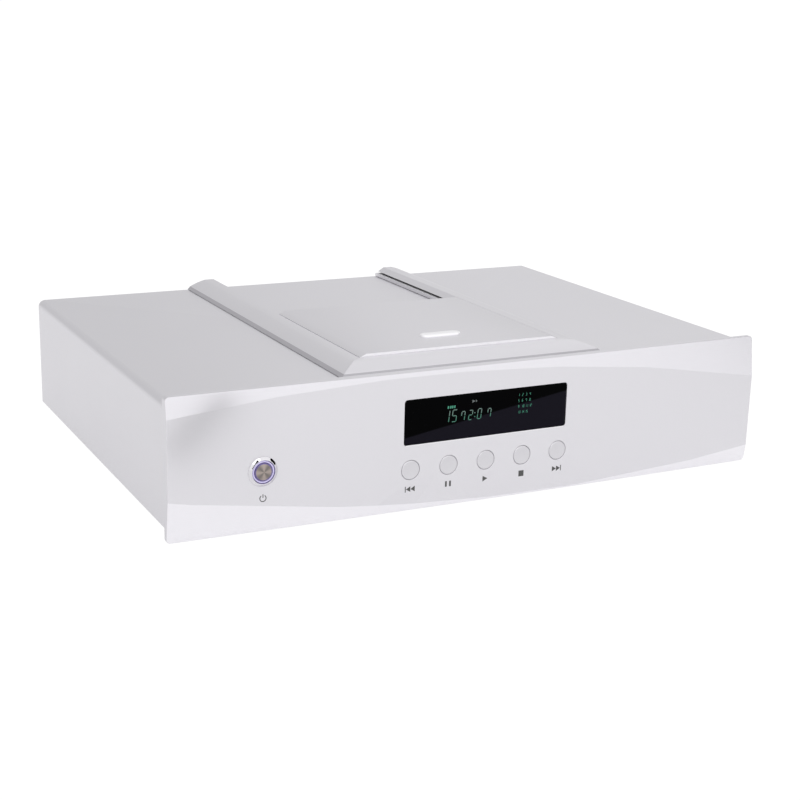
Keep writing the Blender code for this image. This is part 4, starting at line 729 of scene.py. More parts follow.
@dataclass
class Shell:
    """The faceplate, the folded cover, the base, the rear panel, the sub-panel and the feet."""

    facet_tilt: Pair = (0.05, 0.40)
    feet: tuple[str, ...] = ("front_left", "front_right", "rear_left", "rear_right")
    foot_turns: tuple[Pair, ...] = ((3.0, 0.0), (0.0, 2.5), (0.0, 4.2), (0.5, 4.5), (0.5, 5.0), (0.0, 5.3))
    foot_chamfer: float = 1.2
    pad_chamfer: Pair = (0.6, 0.5)
    pad_hollow: Triple = (0.55, 0.5, 0.6)
    rear_screws: tuple[Pair, ...] = ((-205, 80), (-70, 80), (70, 80), (205, 80), (-205, 20), (-50, 20),
                                     (50, 20), (205, 20))
    base_screws: tuple[Pair, ...] = ((-196, -60), (-196, 70), (196, -60), (196, 70), (0, -120), (0, 120),
                                     (-60, 20), (60, 20))

    def build(self) -> None:
        """Builds every piece of the shell."""
        self.faceplate()
        for node in ("main_cover", "rear_panel", "base_plate", "front_sub_panel"):
            refined(node, 0.2)
        for foot in self.feet:
            self.foot(foot)
        self.screws()

    def faceplate(self) -> None:
        """Shows the faceplate with its two arc facets cut bright, the upper facet darkened as painted shade
        and its underside in painted shade.
        """
        piece = refined("front_panel", 0.35, crease=4.0)
        normals, _ = face_looks(piece)
        _, y, z = normals.T
        tilted = (y < -0.5) & (abs(z) > self.facet_tilt[0]) & (abs(z) < self.facet_tilt[1])
        part_finished(piece, FACET, tilted & (z < 0))
        # The upper facet takes painted shade.
        part_finished(piece, UPPER_FACET_PAINTED_SHADE, tilted & (z > 0))
        # The underside takes painted shade, which draws a dark line along the foot of the front.
        part_finished(piece, PAINTED_SHADE, z < -0.9)

    def foot(self, corner: str) -> None:
        """Turns one foot and its pad from their boxes.

        Args:
            corner: The corner of the case, as the nodes name it.
        """
        low, high, middle = in_mm(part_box(f"{corner}_foot"))
        place = (middle.x, middle.y, 0.0)
        radius = high.x - middle.x
        rows = [(0, high.z), *((radius - inset, high.z - drop) for inset, drop in self.foot_turns),
                (radius, low.z + self.foot_chamfer), (radius - self.foot_chamfer, low.z), (0, low.z)]
        stand_in(f"turned_{corner}_foot", [turned_solid(rows, 0.4, place)], f"{corner}_foot")
        low, high, middle = in_mm(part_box(f"{corner}_foot_pad"))
        radius = high.x - middle.x
        inset, rise = self.pad_chamfer
        outer_share, inner_share, hollow = self.pad_hollow
        rows = [(0, high.z), (radius, high.z), (radius, low.z + rise), (radius - inset, low.z),
                (radius * outer_share, low.z), (radius * inner_share, low.z + hollow), (0, low.z + hollow)]
        stand_in(f"soft_{corner}_pad", [turned_solid(rows, 0.3, place)], f"{corner}_foot_pad")

    def screws(self) -> None:
        """Sets the screws of the rear panel and the base."""
        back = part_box("rear_panel")[1][1] / MM
        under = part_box("base_plate")[0][2] / MM
        rear = np.array([(x, back, z) for x, z in self.rear_screws])
        base = np.array([(x, y, under) for x, y in self.base_screws])
        added("rear_panel_screws", screw_heads(rear, "+Y"), BLACK_SCREW)
        added("base_screws", screw_heads(base, "-Z"), BRIGHT_SCREW)


class Mark(Enum):
    """The pictograms printed under the controls."""

    PREVIOUS = "previous"
    PAUSE = "pause"
    PLAY = "play"
    STOP = "stop"
    NEXT = "next"
    POWER = "power"


@dataclass
class FrontControls:
    """The five transport buttons, the lit power switch and the prints under them."""

    button_height: float = 30.2
    button_radius: float = 6.4
    button_dish: tuple[Pair, ...] = ((0.0, 0.25), (0.35, 0.22), (0.7, 0.10))
    button_rim: Pair = (0.45, 0.4)
    button_skirt: float = 5.0
    button_neck: float = 0.9
    neck_slope: float = 0.4
    mark_height: float = 17.5
    power: Pair = (-155.0, 42.1)
    power_mark: float = 25.0
    bezel_bore: Triple = (7.35, 7.4, 7.65)
    bezel_thread: float = 7.9
    bezel_cone: Triple = (1.3, 1.6, 1.8)
    ring_bore: Pair = (6.05, 6.3)
    edge_chamfer: Pair = (0.2, 0.3)
    cap_dome: Triple = (0.12, 0.5, 1.0)
    cap_rim: Pair = (0.6, 0.8)
    panel_front: float = -156.35
    print_depth: float = 0.05
    print_sunk: float = 0.2
    power_ring: Pair = (1.75, 2.3)
    power_gap: float = 0.09
    power_stem: Triple = (0.28, 0.3, 2.6)
    buttons: dict[str, float] = field(default_factory=lambda: {
        "previous": -54.8, "pause": -27.4, "play": 0.0, "stop": 27.4, "next": 54.8})

    def build(self) -> None:
        """Builds the buttons, the power switch and the prints."""
        for name, x in self.buttons.items():
            self.button(name, x)
            self.mark(Mark(name), x, self.mark_height)
        self.bezel()
        self.halo()
        self.cap()
        self.mark(Mark.POWER, self.power[0], self.power_mark)
        finished("front_board", "power_switch_block")
        refined("power_switch_nut", 0.2)

    def button(self, name: str, x: float) -> None:
        """Turns one button, with a shallow dished face and a broken rim.

        Args:
            name: What the button does.
            x: The place of its middle along the panel.
        """
        face, back, _ = self.reach(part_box(f"{name}_button"))
        radius, neck = self.button_radius, self.button_radius - self.button_neck
        rim, drop = self.button_rim
        rows = [*((radius * share, face - sink) for share, sink in self.button_dish), (radius - rim, face),
                (radius, face - drop), (radius, face - self.button_skirt),
                (neck, face - self.button_skirt - self.neck_slope), (neck, back), (0, back)]
        stand_in(f"dished_{name}_button", [turned_solid(rows, 0.25, (x, 0.0, self.button_height), "-Y")],
                 f"{name}_button", self.centred(BUTTON, name, (x, self.button_height)))

    def centred(self, finish: Finish, name: str, place: Pair) -> Finish:
        """Gives a finish whose rings are centred on a place of the panel.

        Args:
            finish: The finish to centre.
            name: What the new finish is for.
            place: The x and z of the centre, in millimetres.

        Returns:
            The centred finish.
        """
        centre = (place[0] * MM, 0.0, place[1] * MM)
        return replace(finish, name=f"{finish.name}_{name}", centre=centre, turn=FLAT_ON)

    def reach(self, box: Box) -> Triple:
        """Gives how far forward a turned solid's face and back lie, and its radius, in millimetres."""
        low, high, middle = in_mm(box)
        return -low.y, -high.y, high.x - middle.x

    def switch_part(self, name: str, rows: list[Pair], rounding: float, node: str,
                    finish: Finish | None = None) -> bpy.types.Object:
        """Turns a part of the power switch about its axis.

        Args:
            name: The piece's name.
            rows: Radius and reach forward of each corner of its profile.
            rounding: How far its corners are rounded.
            node: The solid that it stands for.
            finish: Its finish, or None for that of the node's slot.

        Returns:
            The piece.
        """
        x, z = self.power
        return stand_in(name, [turned_solid(rows, rounding, (x, 0.0, z), "-Y", 96)], node, finish)

    def bezel(self) -> None:
        """Turns the chrome bezel, whose cone falls from a narrow lip to the panel."""
        front, back, outer = self.reach(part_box("power_switch_bezel"))
        bore, throat, lip = self.bezel_bore
        shoulder, cone, seat = self.bezel_cone
        near, far = self.edge_chamfer
        rows = [(bore, front - cone), (throat, front - near), (lip, front), (outer - far, front - shoulder),
                (outer, front - cone), (outer, front - seat), (self.bezel_thread, front - seat),
                (self.bezel_thread, back), (bore, back), (bore, front - cone)]
        self.switch_part("chrome_power_bezel", rows, 0.3, "power_switch_bezel")

    def halo(self) -> None:
        """Turns the lit ring, with a small chamfer at each edge of its face."""
        front, back, outer = self.reach(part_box("power_halo_ring"))
        bore, face = self.ring_bore
        near, far = self.edge_chamfer
        rows = [(bore, back), (bore, front - near), (face, front), (outer - far, front), (outer, front - far),
                (outer, back), (bore, back)]
        self.switch_part("lit_power_ring", rows, 0.15, "power_halo_ring")

    def cap(self) -> None:
        """Turns the domed cap, with a painted cross highlight in four lobes and a rim in painted violet glow.
        """
        x, z = self.power
        front, back, outer = self.reach(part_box("power_button_cap"))
        middle, shoulder, edge = self.cap_dome
        rim, violet = self.cap_rim
        rows = [(0, front), (outer * 0.5, front - middle), (outer - rim, front - shoulder),
                (outer, front - edge), (outer, back), (0, back)]
        # Painted cross highlight: the cap's colour goes lighter in four lobes round its middle.
        star = Finish("power_cap_painted_cross_highlight", (0.20, 0.18, 0.17), (0.40, 0.34, 0.31), Texture.WOUND, 0.85, 0.34,
                      scale=4.0, relief=0.0, centre=(x * MM, 0.0, z * MM), turn=STAR_TURN)
        cap = self.switch_part("domed_power_cap", rows, 0.5, "power_button_cap", star)
        _, middles = face_looks(cap)
        # The outer band of the cap takes painted violet glow, the lit ring's light on it.
        part_finished(cap, PAINTED_VIOLET_GLOW, np.hypot(middles[:, 0] - x, middles[:, 2] - z) > outer - violet)

    def mark(self, mark: Mark, x: float, z: float) -> None:
        """Prints one pictogram on the panel.

        Args:
            mark: Which pictogram.
            x: The place of its middle along the panel.
            z: The height of its middle.
        """
        bar = np.array([(-0.5, -0.5), (0.5, -0.5), (0.5, 0.5), (-0.5, 0.5)])
        arrow = np.array([(-0.5, -0.5), (0.5, 0.0), (0.5, 0.0), (-0.5, 0.5)])
        shapes = {
            Mark.PREVIOUS: [bar * (0.6, 3.9) + (-3.4, 0), arrow * (-3.1, 3.7) + (-1.4, 0),
                            arrow * (-3.1, 3.7) + (1.8, 0)],
            Mark.PAUSE: [bar * (1.3, 3.8) + (-1.5, 0), bar * (1.3, 3.8) + (1.5, 0)],
            Mark.PLAY: [arrow * (3.6, 3.8)],
            Mark.STOP: [bar * (3.9, 4.0)],
            Mark.NEXT: [arrow * (3.1, 3.7) + (-1.8, 0), arrow * (3.1, 3.7) + (1.4, 0),
                        bar * (0.6, 3.9) + (3.4, 0)],
            Mark.POWER: self.power_shapes(),
        }[mark]
        surface = prisms(np.array(shapes) + (x, z), self.panel_front - self.print_depth,
                         self.panel_front + self.print_sunk)
        added(f"{mark.value}_print", [surface], PRINT)

    def power_shapes(self) -> list[np.ndarray]:
        """Gives the power pictogram as a broken ring of short bars with a stem.

        Returns:
            Four corners for each bar.
        """
        angle = np.linspace(self.power_gap, 1.0 - self.power_gap, 19) * TURN
        way = np.stack([np.sin(angle), np.cos(angle)], -1)
        inner, outer = (way * radius for radius in self.power_ring)
        ring = [np.array([inner[i], outer[i], outer[i + 1], inner[i + 1]]) for i in range(len(angle) - 1)]
        half, foot, top = self.power_stem
        return [*ring, np.array([(-half, foot), (half, foot), (half, top), (-half, top)])]


@dataclass
class Display:
    """The black window with a painted reflection, the figures lit on its face and the painted highlight strip
    under it.
    """

    slant: float = 0.12
    stroke: float = 0.54
    window_front: float = -156.05
    proud: float = 0.06
    sunk: float = 0.2
    width_share: float = 0.40
    digits: tuple[tuple[int, float, float, float], ...] = (
        (1, -31.5, 58.8, 7.7), (5, -26.2, 58.8, 7.7), (7, -19.4, 58.9, 5.9), (2, -14.0, 58.8, 6.2),
        (0, -7.6, 58.8, 6.6), (7, -0.1, 59.2, 5.6))
    colon: Triple = (-9.3, 60.5, 63.1)
    small_figure: Triple = (0.62, 1.7, 0.26)
    small_pitch: float = 1.05
    grid_corner: Pair = (22.9, 70.7)
    grid_pitch: Pair = (2.8, 3.9)
    lamps: tuple[float, ...] = (-29.4, -27.7, -26.3, -24.8)
    lamp_foot: float = 67.8
    lamp_size: Triple = (1.0, 1.7, 0.2)
    arrow_heads: tuple[Triple, ...] = ((-11.4, 2.2, 1.0), (-8.9, 1.1, 0.9))
    arrow_height: float = 70.9
    sill_inset: float = 4.0
    sill_heights: Pair = (2.45, 2.9)
    sill_proud: float = 0.36

    ENDS: ClassVar[np.ndarray] = np.array([
        [(0, 1), (1, 1)], [(1, 1), (1, 0.5)], [(1, 0.5), (1, 0)], [(0, 0), (1, 0)], [(0, 0.5), (0, 0)],
        [(0, 1), (0, 0.5)], [(0, 0.5), (1, 0.5)]], float)
    LIT: ClassVar[dict[int, tuple[int, ...]]] = {
        0: (0, 1, 2, 3, 4, 5), 1: (1, 2), 2: (0, 1, 6, 4, 3), 3: (0, 1, 6, 2, 3), 4: (5, 6, 1, 2),
        5: (0, 5, 6, 2, 3), 6: (0, 5, 4, 3, 2, 6), 7: (5, 0, 1, 2), 8: (0, 1, 2, 3, 4, 5, 6),
        9: (0, 5, 6, 1, 2, 3)}

    def build(self) -> None:
        """Builds the window, its lit figures and the painted highlight strip under it."""
        refined("display_window", 0.15)
        finished("display_module")
        large = [self.figure(value, x, z, self.width_share * high, high, self.stroke)
                 for value, x, z, high in self.digits]
        x, *heights = self.colon
        dot = np.array([(-0.4, 0), (-0.2, -0.35), (0.2, -0.35), (0.4, 0), (0.2, 0.35), (-0.2, 0.35)])
        self.lit("lit_time_figures", np.vstack([*large, [dot + (x, z) for z in heights]]), GREEN_LIT)
        self.lit("lit_track_numbers", self.track_grid(), BAR_LIT)
        wide, high, lean = self.lamp_size
        lamp = np.array([(0.0, 0.0), (wide, 0.0), (wide + lean, high), (lean, high)])
        self.lit("lit_mode_lamps", np.array([lamp + (x, self.lamp_foot) for x in self.lamps]), BAR_LIT)
        z = self.arrow_height
        self.lit("lit_mode_arrow", np.array([[(x, z - half), (x + reach, z), (x, z + half)]
                                             for x, reach, half in self.arrow_heads]), WHITE_LIT)
        # A thin strip in painted highlight stands for the bright edge under the window.
        low, high, _ = in_mm(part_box("display_window"))
        reach = high.x - self.sill_inset
        foot, top = (low.z + rise for rise in self.sill_heights)
        strip = np.array([[(-reach, foot), (reach, foot), (reach, top), (-reach, top)]])
        added("painted_highlight_strip", [prisms(strip, low.y - self.sill_proud, low.y)], PAINTED_HIGHLIGHT)

    def lit(self, name: str, shapes: np.ndarray, finish: Finish) -> None:
        """Adds lit shapes just in front of the window's face."""
        surface = prisms(shapes, self.window_front - self.proud, self.window_front + self.sunk)
        added(name, [surface], finish)

    def figure(self, value: int, x: float, z: float, wide: float, high: float, stroke: float) -> np.ndarray:
        """Gives the lit segments of one slanted figure.

        Each segment is a bar with pointed ends from one corner of the figure to the next, drawn in by a
        gap, and its points lean by slant times their height.

        Args:
            value: The figure shown.
            x: Its left edge.
            z: Its foot.
            wide: Its width.
            high: Its height.
            stroke: The width of a segment.

        Returns:
            Six corners for each lit segment.
        """
        ends = self.ENDS[list(self.LIT[value])] * (wide, high)
        start, end = ends[:, 0], ends[:, 1]
        way = (end - start) / np.linalg.norm(end - start, axis=1, keepdims=True)
        side = np.stack([-way[:, 1], way[:, 0]], -1) * stroke / 2
        start, end = start + way * stroke * 0.25, end - way * stroke * 0.25
        cut = way * stroke / 2
        shape = np.stack([start, start + cut - side, end - cut - side, end, end - cut + side,
                          start + cut + side], 1)
        shape[..., 0] += self.slant * shape[..., 1] + x
        shape[..., 1] += z
        return shape

    def track_grid(self) -> np.ndarray:
        """Gives the segments of the small numbers 1 to 15, four in a row.

        Returns:
            Six corners for each lit segment.
        """
        shapes = []
        wide, high, stroke = self.small_figure
        for number in range(1, 16):
            row, column = divmod(number - 1, 4)
            x = self.grid_corner[0] + column * self.grid_pitch[0]
            z = self.grid_corner[1] - row * self.grid_pitch[1]
            for place, value in enumerate(str(number)):
                shapes.append(self.figure(int(value), x + place * self.small_pitch, z, wide, high, stroke))
        return np.vstack(shapes)


@dataclass
class SlidingLid:
    """The rails, the front bar, the lid, its carrier and its grip."""

    outer: float = 96.5
    front: float = -141.5
    bar_depth: float = 21.7
    foot: float = 90.3
    chamfer: Pair = (2.2, 92.5)
    slope_end: float = 14.5
    land: float = 97.0
    bulge: float = 0.45
    bevel: tuple[Pair, Pair] = ((75.0, 97.0), (70.0, 93.9))
    groove: Triple = (74.3, 93.9, 92.7)
    lip: float = 67.5
    lid_top: Pair = (69.6, 98.8)
    lid_edge: Triple = (74.1, 96.95, 96.52)
    lid_under: Pair = (72.8, 95.95)
    tongue: Triple = (74.0, 92.8, 93.7)
    deck: Pair = (69.7, 95.85)
    grip_levels: tuple[Pair, ...] = ((0.0, 0.0), (0.0, 0.45), (0.2, 0.75), (0.7, 0.94), (1.5, 1.0),
                                     (3.0, 1.0))
    grip_slack: float = 0.01
    broken: Pair = (0.15, 0.12)
    seam: float = 0.1

    def build(self) -> None:
        """Builds the rails and the lid."""
        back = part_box("left_guide_rail")[1][1] / MM
        for name, side in (("left", -1.0), ("right", 1.0)):
            self.rail(f"{name}_guide_rail", side, back)
        self.bar()
        self.plate()
        self.carrier()
        self.grip()

    def crown(self) -> np.ndarray:
        """Gives the frame's upper outline from its foot to its land.

        Between the chamfer and the land the height is a straight climb plus bulge * 4 * t * (1 - t).

        Returns:
            Distance in from the outer edge and height, in millimetres, one a row.
        """
        share = np.linspace(0.0, 1.0, 9)
        inset = self.chamfer[0] + (self.slope_end - self.chamfer[0]) * share
        high = self.chamfer[1] + (self.land - self.chamfer[1]) * share + self.bulge * 4 * share * (1 - share)
        return np.vstack([[(0.0, self.foot)], np.column_stack([inset, high])])

    def rail(self, node: str, side: float, back: float) -> None:
        """Carries a rail's section back from its mitre, with the groove that the lid runs in. Its outer foot
        takes painted shade, and the walls inside the groove are black as painted shade.

        Args:
            node: The rail.
            side: -1 for the left and 1 for the right.
            back: The y of its rear end.
        """
        crown = self.crown()
        (high_x, high), (low_x, low) = self.bevel
        joint = self.outer - self.bar_depth
        over_joint = high - (high_x - joint) / (high_x - low_x) * (high - low)
        wall, groove_top, groove_low = self.groove
        rows = [*((self.outer - inset, z) for inset, z in crown), (high_x, high), (joint, over_joint),
                (low_x, low), (wall, groove_top), (wall, groove_low), (self.lip, groove_low),
                (self.lip, self.foot), (joint, self.foot)]
        section = np.array(rows)
        starts = self.front + np.minimum(self.outer - section[:, 0], self.bar_depth)
        split, last = len(crown) + 1, len(rows) - 1
        caps = [[*range(split + 1), last], [*range(split, last + 1)]]
        surface = swept(section * (side, 1.0), starts, np.full(len(rows), back), caps)
        piece = stand_in(f"grooved_{node}", [surface], node)
        break_edges(piece, self.broken[0])
        normals, middles = face_looks(piece)
        x, _, z = abs(middles.T)
        # The outer foot takes painted shade.
        part_finished(piece, PAINTED_SHADE, (x > self.outer - self.chamfer[0]) & (z < self.chamfer[1]))
        # The walls inside the groove take black rubber as painted shade, for the dark line of the groove.
        part_finished(piece, BY_SLOT["rubber_black"], (x > low_x) & (x < high_x) & (abs(normals[:, 1]) < 0.5)
                      & (z >= groove_low + self.seam) & (z <= groove_top + self.seam))

    def bar(self) -> None:
        """Carries the front bar's section across, with both ends cut to the mitre, and its front foot in
        painted shade.
        """
        rows = [*self.crown(), (self.bar_depth, self.land), (self.bar_depth, self.foot)]
        section = np.array(rows)
        ends = self.outer - section[:, 0]
        section[:, 0] += self.front
        surface = swept(section, -ends, ends, [[*range(len(rows))]], True)
        piece = stand_in("mitred_front_bar", [surface], "front_frame_bar")
        break_edges(piece, self.broken[0])
        _, middles = face_looks(piece)
        # The front foot takes painted shade.
        part_finished(piece, PAINTED_SHADE, (middles[:, 1] < self.front + self.chamfer[0])
                      & (middles[:, 2] < self.chamfer[1]))

    def across(self, half: list[Pair], box: Box) -> Surface:
        """Mirrors half of a section about the middle and carries it along a solid's box.

        Args:
            half: The corners of the right half, from the top down or from the foot up.
            box: The box that gives the front and the back.

        Returns:
            The points in metres and the faces.
        """
        low, high, _ = in_mm(box)
        section = np.array([*half, *((-x, z) for x, z in half[::-1])])
        count = len(section)
        return swept(section, np.full(count, low.y), np.full(count, high.y), [[*range(count)]])

    def plate(self) -> None:
        """Makes the lid, with its long sides sloped down to the rails and its front face in painted
        highlight.
        """
        edge_x, edge_high, edge_low = self.lid_edge
        half = [self.lid_top, (edge_x, edge_high), (edge_x, edge_low), self.lid_under]
        piece = stand_in("sloped_lid_plate", [self.across(half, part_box("lid_plate"))], "lid_plate")
        break_edges(piece, self.broken[1])
        normals, _ = face_looks(piece)
        # The front face takes painted highlight.
        part_finished(piece, PAINTED_HIGHLIGHT, normals[:, 1] < -0.5)

    def carrier(self) -> None:
        """Makes the black carrier, whose tongues run in the grooves."""
        tongue_x, tongue_low, tongue_high = self.tongue
        deck_x, deck_high = self.deck
        half = [(tongue_x, tongue_low), (tongue_x, tongue_high), (deck_x, tongue_high), (deck_x, deck_high)]
        piece = stand_in("tongued_lid_carrier", [self.across(half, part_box("lid_carrier"))], "lid_carrier")
        break_edges(piece, self.broken[0])

    def grip(self) -> None:
        """Lays the rounded grip on the lid, all in painted highlight."""
        low, high, middle = in_mm(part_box("lid_grip"))
        half_x, half_y = high.x - middle.x, high.y - middle.y
        seat = self.lid_top[1]
        levels = np.array(self.grip_levels) * (1.0, high.z - seat)
        surface = pill(half_x, half_y, half_y - self.grip_slack, levels, (middle.x, middle.y, seat))
        # The grip is painted highlight white all over.
        stand_in("rounded_lid_grip", [surface], "lid_grip", PAINTED_HIGHLIGHT, 60.0)


@dataclass
class DiscDrive:
    """The disc well and everything in it: turntable, clamp, pickup, rods, gears and dampers."""

    ring_radius: Pair = (8.6, 12.4)
    ring_height: Pair = (79.8, 80.18)
    dome_share: float = 0.82
    dome_drop: float = 0.7
    rim_share: float = 0.84
    rim_drop: Pair = (0.35, 0.5)
    rim_chamfer: float = 0.1

    def build(self) -> None:
        """Builds the drive."""
        refined("disc_well", 0.3)
        refined("turntable_hub", 0.2)
        self.rubber_ring()
        refined("disc_clamp", 0.3)
        refined("pickup_sled", 0.15)
        self.lens()
        for node in ("transport_chassis", "spindle_motor", "sled_motor", "front_left_damper",
                     "rear_left_damper", "front_right_damper", "rear_right_damper", "sled_guide_rod",
                     "sled_support_rod"):
            refined(node, 0.12)
        refined("sled_drive_gear", 0.0)
        refined("sled_motor_pinion", 0.0)

    def rubber_ring(self) -> None:
        """Lays a rubber ring on the hub, for the disc to rest on."""
        inner, outer = self.ring_radius
        foot, top = self.ring_height
        rows = [(inner, foot), (inner, top), (outer, top), (outer, foot), (inner, foot)]
        place = tuple(value / MM for value in SPINDLE)
        added("hub_rubber_ring", [turned_solid(rows, 0.1, place)], BY_SLOT["rubber_black"], "turntable")

    def lens(self) -> None:
        """Turns the objective lens as a low dome in its ring.

        The dome's height at radius r is its top less dome_drop * (r / its radius)^2.
        """
        low, high, middle = in_mm(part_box("objective_lens"))
        radius = high.x - middle.x
        share = np.linspace(0.0, 1.0, 9)
        dome = np.stack([radius * self.dome_share * share, high.z - self.dome_drop * share ** 2], -1)
        face, edge = (high.z - drop for drop in self.rim_drop)
        rim = np.array([(radius * self.rim_share, face), (radius - self.rim_chamfer, face), (radius, edge),
                        (radius, low.z), (0, low.z)])
        surface = lathe(np.vstack([dome, rim]), (middle.x, middle.y, 0.0))
        stand_in("domed_lens", [surface], "objective_lens", crease=40.0)


@dataclass
class PowerAndBoards:
    """The transformer, the boards, the capacitors and the heat sink inside the case."""

    def build(self) -> None:
        """Dresses the electronics."""
        finished("power_board", "main_board")
        for node in ("power_transformer", "transformer_clamp", "front_filter_capacitor",
                     "rear_filter_capacitor", "heat_sink"):
            refined(node, 0.2)


@dataclass
class RearConnectors:
    """The output jacks with their insulators, and the mains inlet."""

    height: float = 42.1
    ring_bore: float = 4.2
    ring_radius: Pair = (6.2, 6.9)
    ring_depth: Pair = (1.4, 0.9)
    jacks: tuple[tuple[str, Finish], ...] = (
        ("left_output_jack", WHITE_NYLON), ("right_output_jack", RED_NYLON),
        ("digital_output_jack", BY_SLOT["black_plastic"]))

    def build(self) -> None:
        """Dresses the connectors."""
        for node, insulator in self.jacks:
            self.ringed(node, insulator)
        refined("mains_inlet", 0.4)

    def ringed(self, node: str, insulator: Finish) -> None:
        """Shows a jack with an insulating ring where it meets the panel.

        Args:
            node: The jack.
            insulator: The finish of the ring.
        """
        refined(node, 0.15)
        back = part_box("rear_panel")[1][1] / MM
        face, edge = self.ring_radius
        face_depth, edge_depth = self.ring_depth
        rows = [(self.ring_bore, back), (self.ring_bore, back + face_depth), (face, back + face_depth),
                (edge, back + edge_depth), (edge, back), (self.ring_bore, back)]
        _, _, middle = in_mm(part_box(node))
        place = (middle.x, 0.0, self.height)
        added(f"{node}_insulator", [turned_solid(rows, 0.25, place, "+Y")], insulator)


# Studio

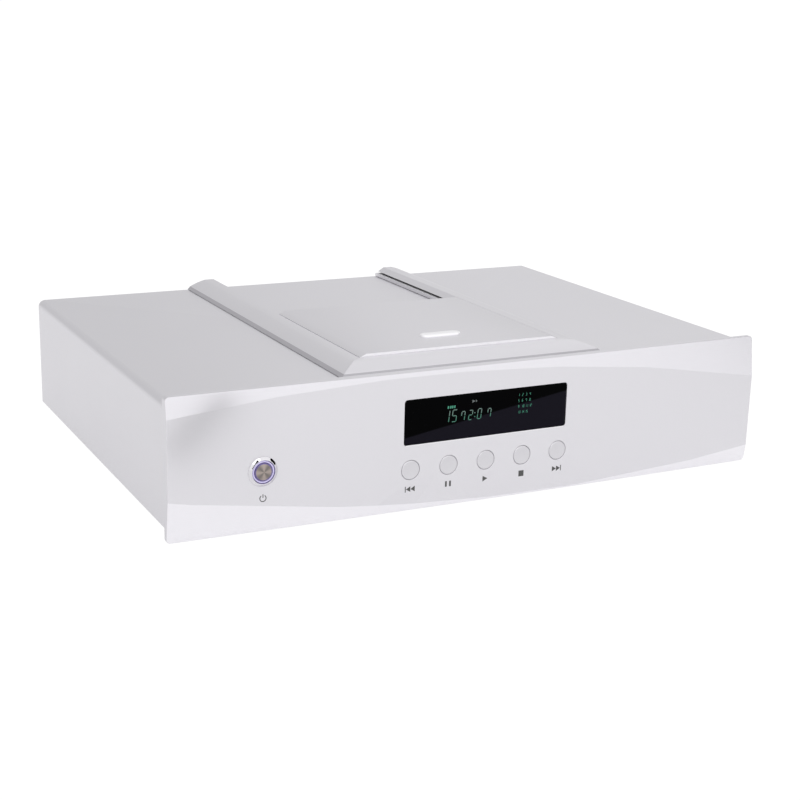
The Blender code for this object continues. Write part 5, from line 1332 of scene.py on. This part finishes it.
@dataclass
class Studio:
    """The white floor, the soft light and the camera at the photograph's angle."""

    azimuth: float = 27.057
    elevation: float = 15.766
    roll: float = 1.45
    lens: float = 67.3405
    target: Triple = (0.0, -6.35, 48.0)
    shift: Pair = (11.207, -16.246)
    distance: float = 1096.0
    sensor: float = 36.0
    sight: float = 500.0
    front_light: float = 1.28
    back_light: float = 0.62
    side_share: float = 0.2
    floor_side: float = 300.0
    floor_white: float = 1.11
    floor_dimming: float = 0.05
    floor_glow: Pair = (0.36, 0.95)
    softboxes: tuple[tuple[str, Triple, float, float], ...] = (
        ("key_softbox", (-0.9, -1.6, 1.9), 1.6, 6.0), ("back_softbox", (1.2, 1.5, 1.6), 1.4, 1.5))
    lamp_aim: Triple = (0.0, 0.0, 0.05)
    cards: tuple[tuple[str, Triple, float, float, float, float], ...] = (
        ("upper_flag", (-0.45, -0.72, 0.45), 0.06, 0.023, 0.057, 30.0),
        ("side_flag", (0.945, -0.13, 0.27), 0.6, 0.2, 0.32, 0.0))
    card_aim: Triple = (-0.155, -0.157, 0.042)

    def build(self) -> None:
        """Builds the floor, the light and the camera."""
        bpy.context.scene.view_settings.view_transform = "Standard"
        self.air()
        self.floor()
        self.lamps()
        self.flags()
        self.camera()

    def air(self) -> None:
        """Lights the scene from all round, brightest from the front and a little from the right."""
        world = bpy.data.worlds.new("studio_air")
        bpy.context.scene.world = world
        world.use_nodes = True
        tree = world.node_tree
        shader = tree.nodes["Background"]
        set_inputs(shader, {"Color": (1.0, 1.0, 1.0, 1.0)})
        parts = add_node(tree, "ShaderNodeSeparateXYZ")
        tree.links.new(add_node(tree, "ShaderNodeTexCoord").outputs["Generated"], parts.inputs[0])
        sideways = math_node(tree, "MULTIPLY", parts.outputs["X"], self.side_share)
        slope = add_node(tree, "ShaderNodeMapRange")
        set_inputs(slope, {"From Min": -1.0, "From Max": 1.0, "To Min": self.front_light,
                           "To Max": self.back_light})
        tree.links.new(math_node(tree, "SUBTRACT", parts.outputs["Y"], sideways), slope.inputs["Value"])
        choice = add_node(tree, "ShaderNodeMix", data_type="FLOAT")
        to_camera = add_node(tree, "ShaderNodeLightPath").outputs["Is Camera Ray"]
        tree.links.new(to_camera, choice.inputs["Factor"])
        tree.links.new(slope.outputs[0], choice.inputs[2])
        choice.inputs[3].default_value = 1.0
        tree.links.new(choice.outputs[0], shader.inputs["Strength"])

    def card(self, name: str, wide: float, high: float, material: bpy.types.Material) -> bpy.types.Object:
        """Makes a flat card about the origin.

        Args:
            name: The card's name.
            wide: Its width in metres.
            high: Its height in metres.
            material: Its material.

        Returns:
            The card, facing up.
        """
        x, y = wide / 2, high / 2
        mesh = bpy.data.meshes.new(name)
        mesh.from_pydata([(-x, -y, 0), (x, -y, 0), (x, y, 0), (-x, y, 0)], [], [(0, 1, 2, 3)])
        mesh.materials.append(material)
        made = bpy.data.objects.new(name, mesh)
        bpy.context.scene.collection.objects.link(made)
        return made

    def floor(self) -> None:
        """Lays a wide white floor with a trace of shadow, which is clear when seen from below."""
        paint = bpy.data.materials.new("white_floor")
        paint.use_nodes = True
        tree = paint.node_tree
        shader = tree.nodes["Principled BSDF"]
        set_inputs(shader, {"Base Color": (0.86, 0.86, 0.86, 1.0), "Roughness": 0.9,
                            "Specular IOR Level": 0.1})
        lit = add_node(tree, "ShaderNodeEmission")
        to_camera = add_node(tree, "ShaderNodeLightPath").outputs["Is Camera Ray"]
        dimmed = math_node(tree, "MULTIPLY", to_camera, self.floor_dimming)
        tree.links.new(math_node(tree, "SUBTRACT", self.floor_white, dimmed), lit.inputs["Strength"])
        least, most = self.floor_glow
        share = math_node(tree, "MAXIMUM", math_node(tree, "MULTIPLY", to_camera, most), least)
        below = add_node(tree, "ShaderNodeNewGeometry").outputs["Backfacing"]
        surface = shader
        for factor, other in ((share, lit), (below, add_node(tree, "ShaderNodeBsdfTransparent"))):
            mixed = add_node(tree, "ShaderNodeMixShader")
            for place, source in enumerate((factor, surface.outputs[0], other.outputs[0])):
                tree.links.new(source, mixed.inputs[place])
            surface = mixed
        tree.links.new(surface.outputs[0], tree.nodes["Material Output"].inputs["Surface"])
        plane = self.card("studio_floor", self.floor_side, self.floor_side, paint)

    def lamps(self) -> None:
        """Hangs a wide soft lamp over the front left, and one over the back right."""
        for name, place, size, power in self.softboxes:
            lamp = bpy.data.lights.new(name, "AREA")
            lamp.shape = "SQUARE"
            lamp.size = size
            lamp.energy = power
            hung = bpy.data.objects.new(name, lamp)
            hung.location = place
            hung.rotation_euler = (Vector(self.lamp_aim) - Vector(place)).to_track_quat("-Z", "Y").to_euler()
            bpy.context.scene.collection.objects.link(hung)

    def flags(self) -> None:
        """Hangs two small black cards, unseen by the camera, for the metal to reflect."""
        black = Finish("black_card", grey(0.002), grey(0.003), Texture.SMOOTH, roughness=1.0, specular=0.0)
        for name, way, away, wide, high, tilt in self.cards:
            card = self.card(name, wide, high, black.material())
            facing = (-Vector(way)).to_track_quat("Z", "Y").to_matrix().to_4x4()
            place = Matrix.Translation(Vector(self.card_aim) + Vector(way) * away)
            card.matrix_world = place @ facing @ Matrix.Rotation(radians(tilt), 4, "Z")
            card.visible_camera = card.visible_diffuse = card.visible_shadow = False

    def camera(self) -> None:
        """Sets the camera by its angles about the target, rolled, and moved sideways by shift."""
        turn, lift, lean = (radians(angle) for angle in (self.azimuth, self.elevation, self.roll))
        back = Vector((-sin(turn) * cos(lift), -cos(turn) * cos(lift), sin(lift)))
        level = Vector((cos(turn), -sin(turn), 0.0))
        upright = back.cross(level)
        right = level * cos(lean) + upright * sin(lean)
        up = upright * cos(lean) - level * sin(lean)
        place = Vector(self.target) + right * self.shift[0] + up * self.shift[1] + back * self.distance
        eye = bpy.data.cameras.new("photograph_camera")
        eye.lens = self.lens
        eye.sensor_width = self.sensor
        eye.clip_end = self.sight
        held = bpy.data.objects.new("photograph_camera", eye)
        held.matrix_world = Matrix.Translation(place * MM) @ Matrix((right, up, back)).transposed().to_4x4()
        bpy.context.scene.collection.objects.link(held)
        bpy.context.scene.camera = held


def main() -> None:
    """Builds the sub-assemblies in order, then the studio."""
    logging.basicConfig(level=logging.INFO, format="%(message)s")
    for part in (Shell(), FrontControls(), Display(), SlidingLid(), DiscDrive(), PowerAndBoards(),
                 RearConnectors(), Studio()):
        LOG.info("building %s", type(part).__name__)
        part.build()


if __name__ == "__main__":
    main()
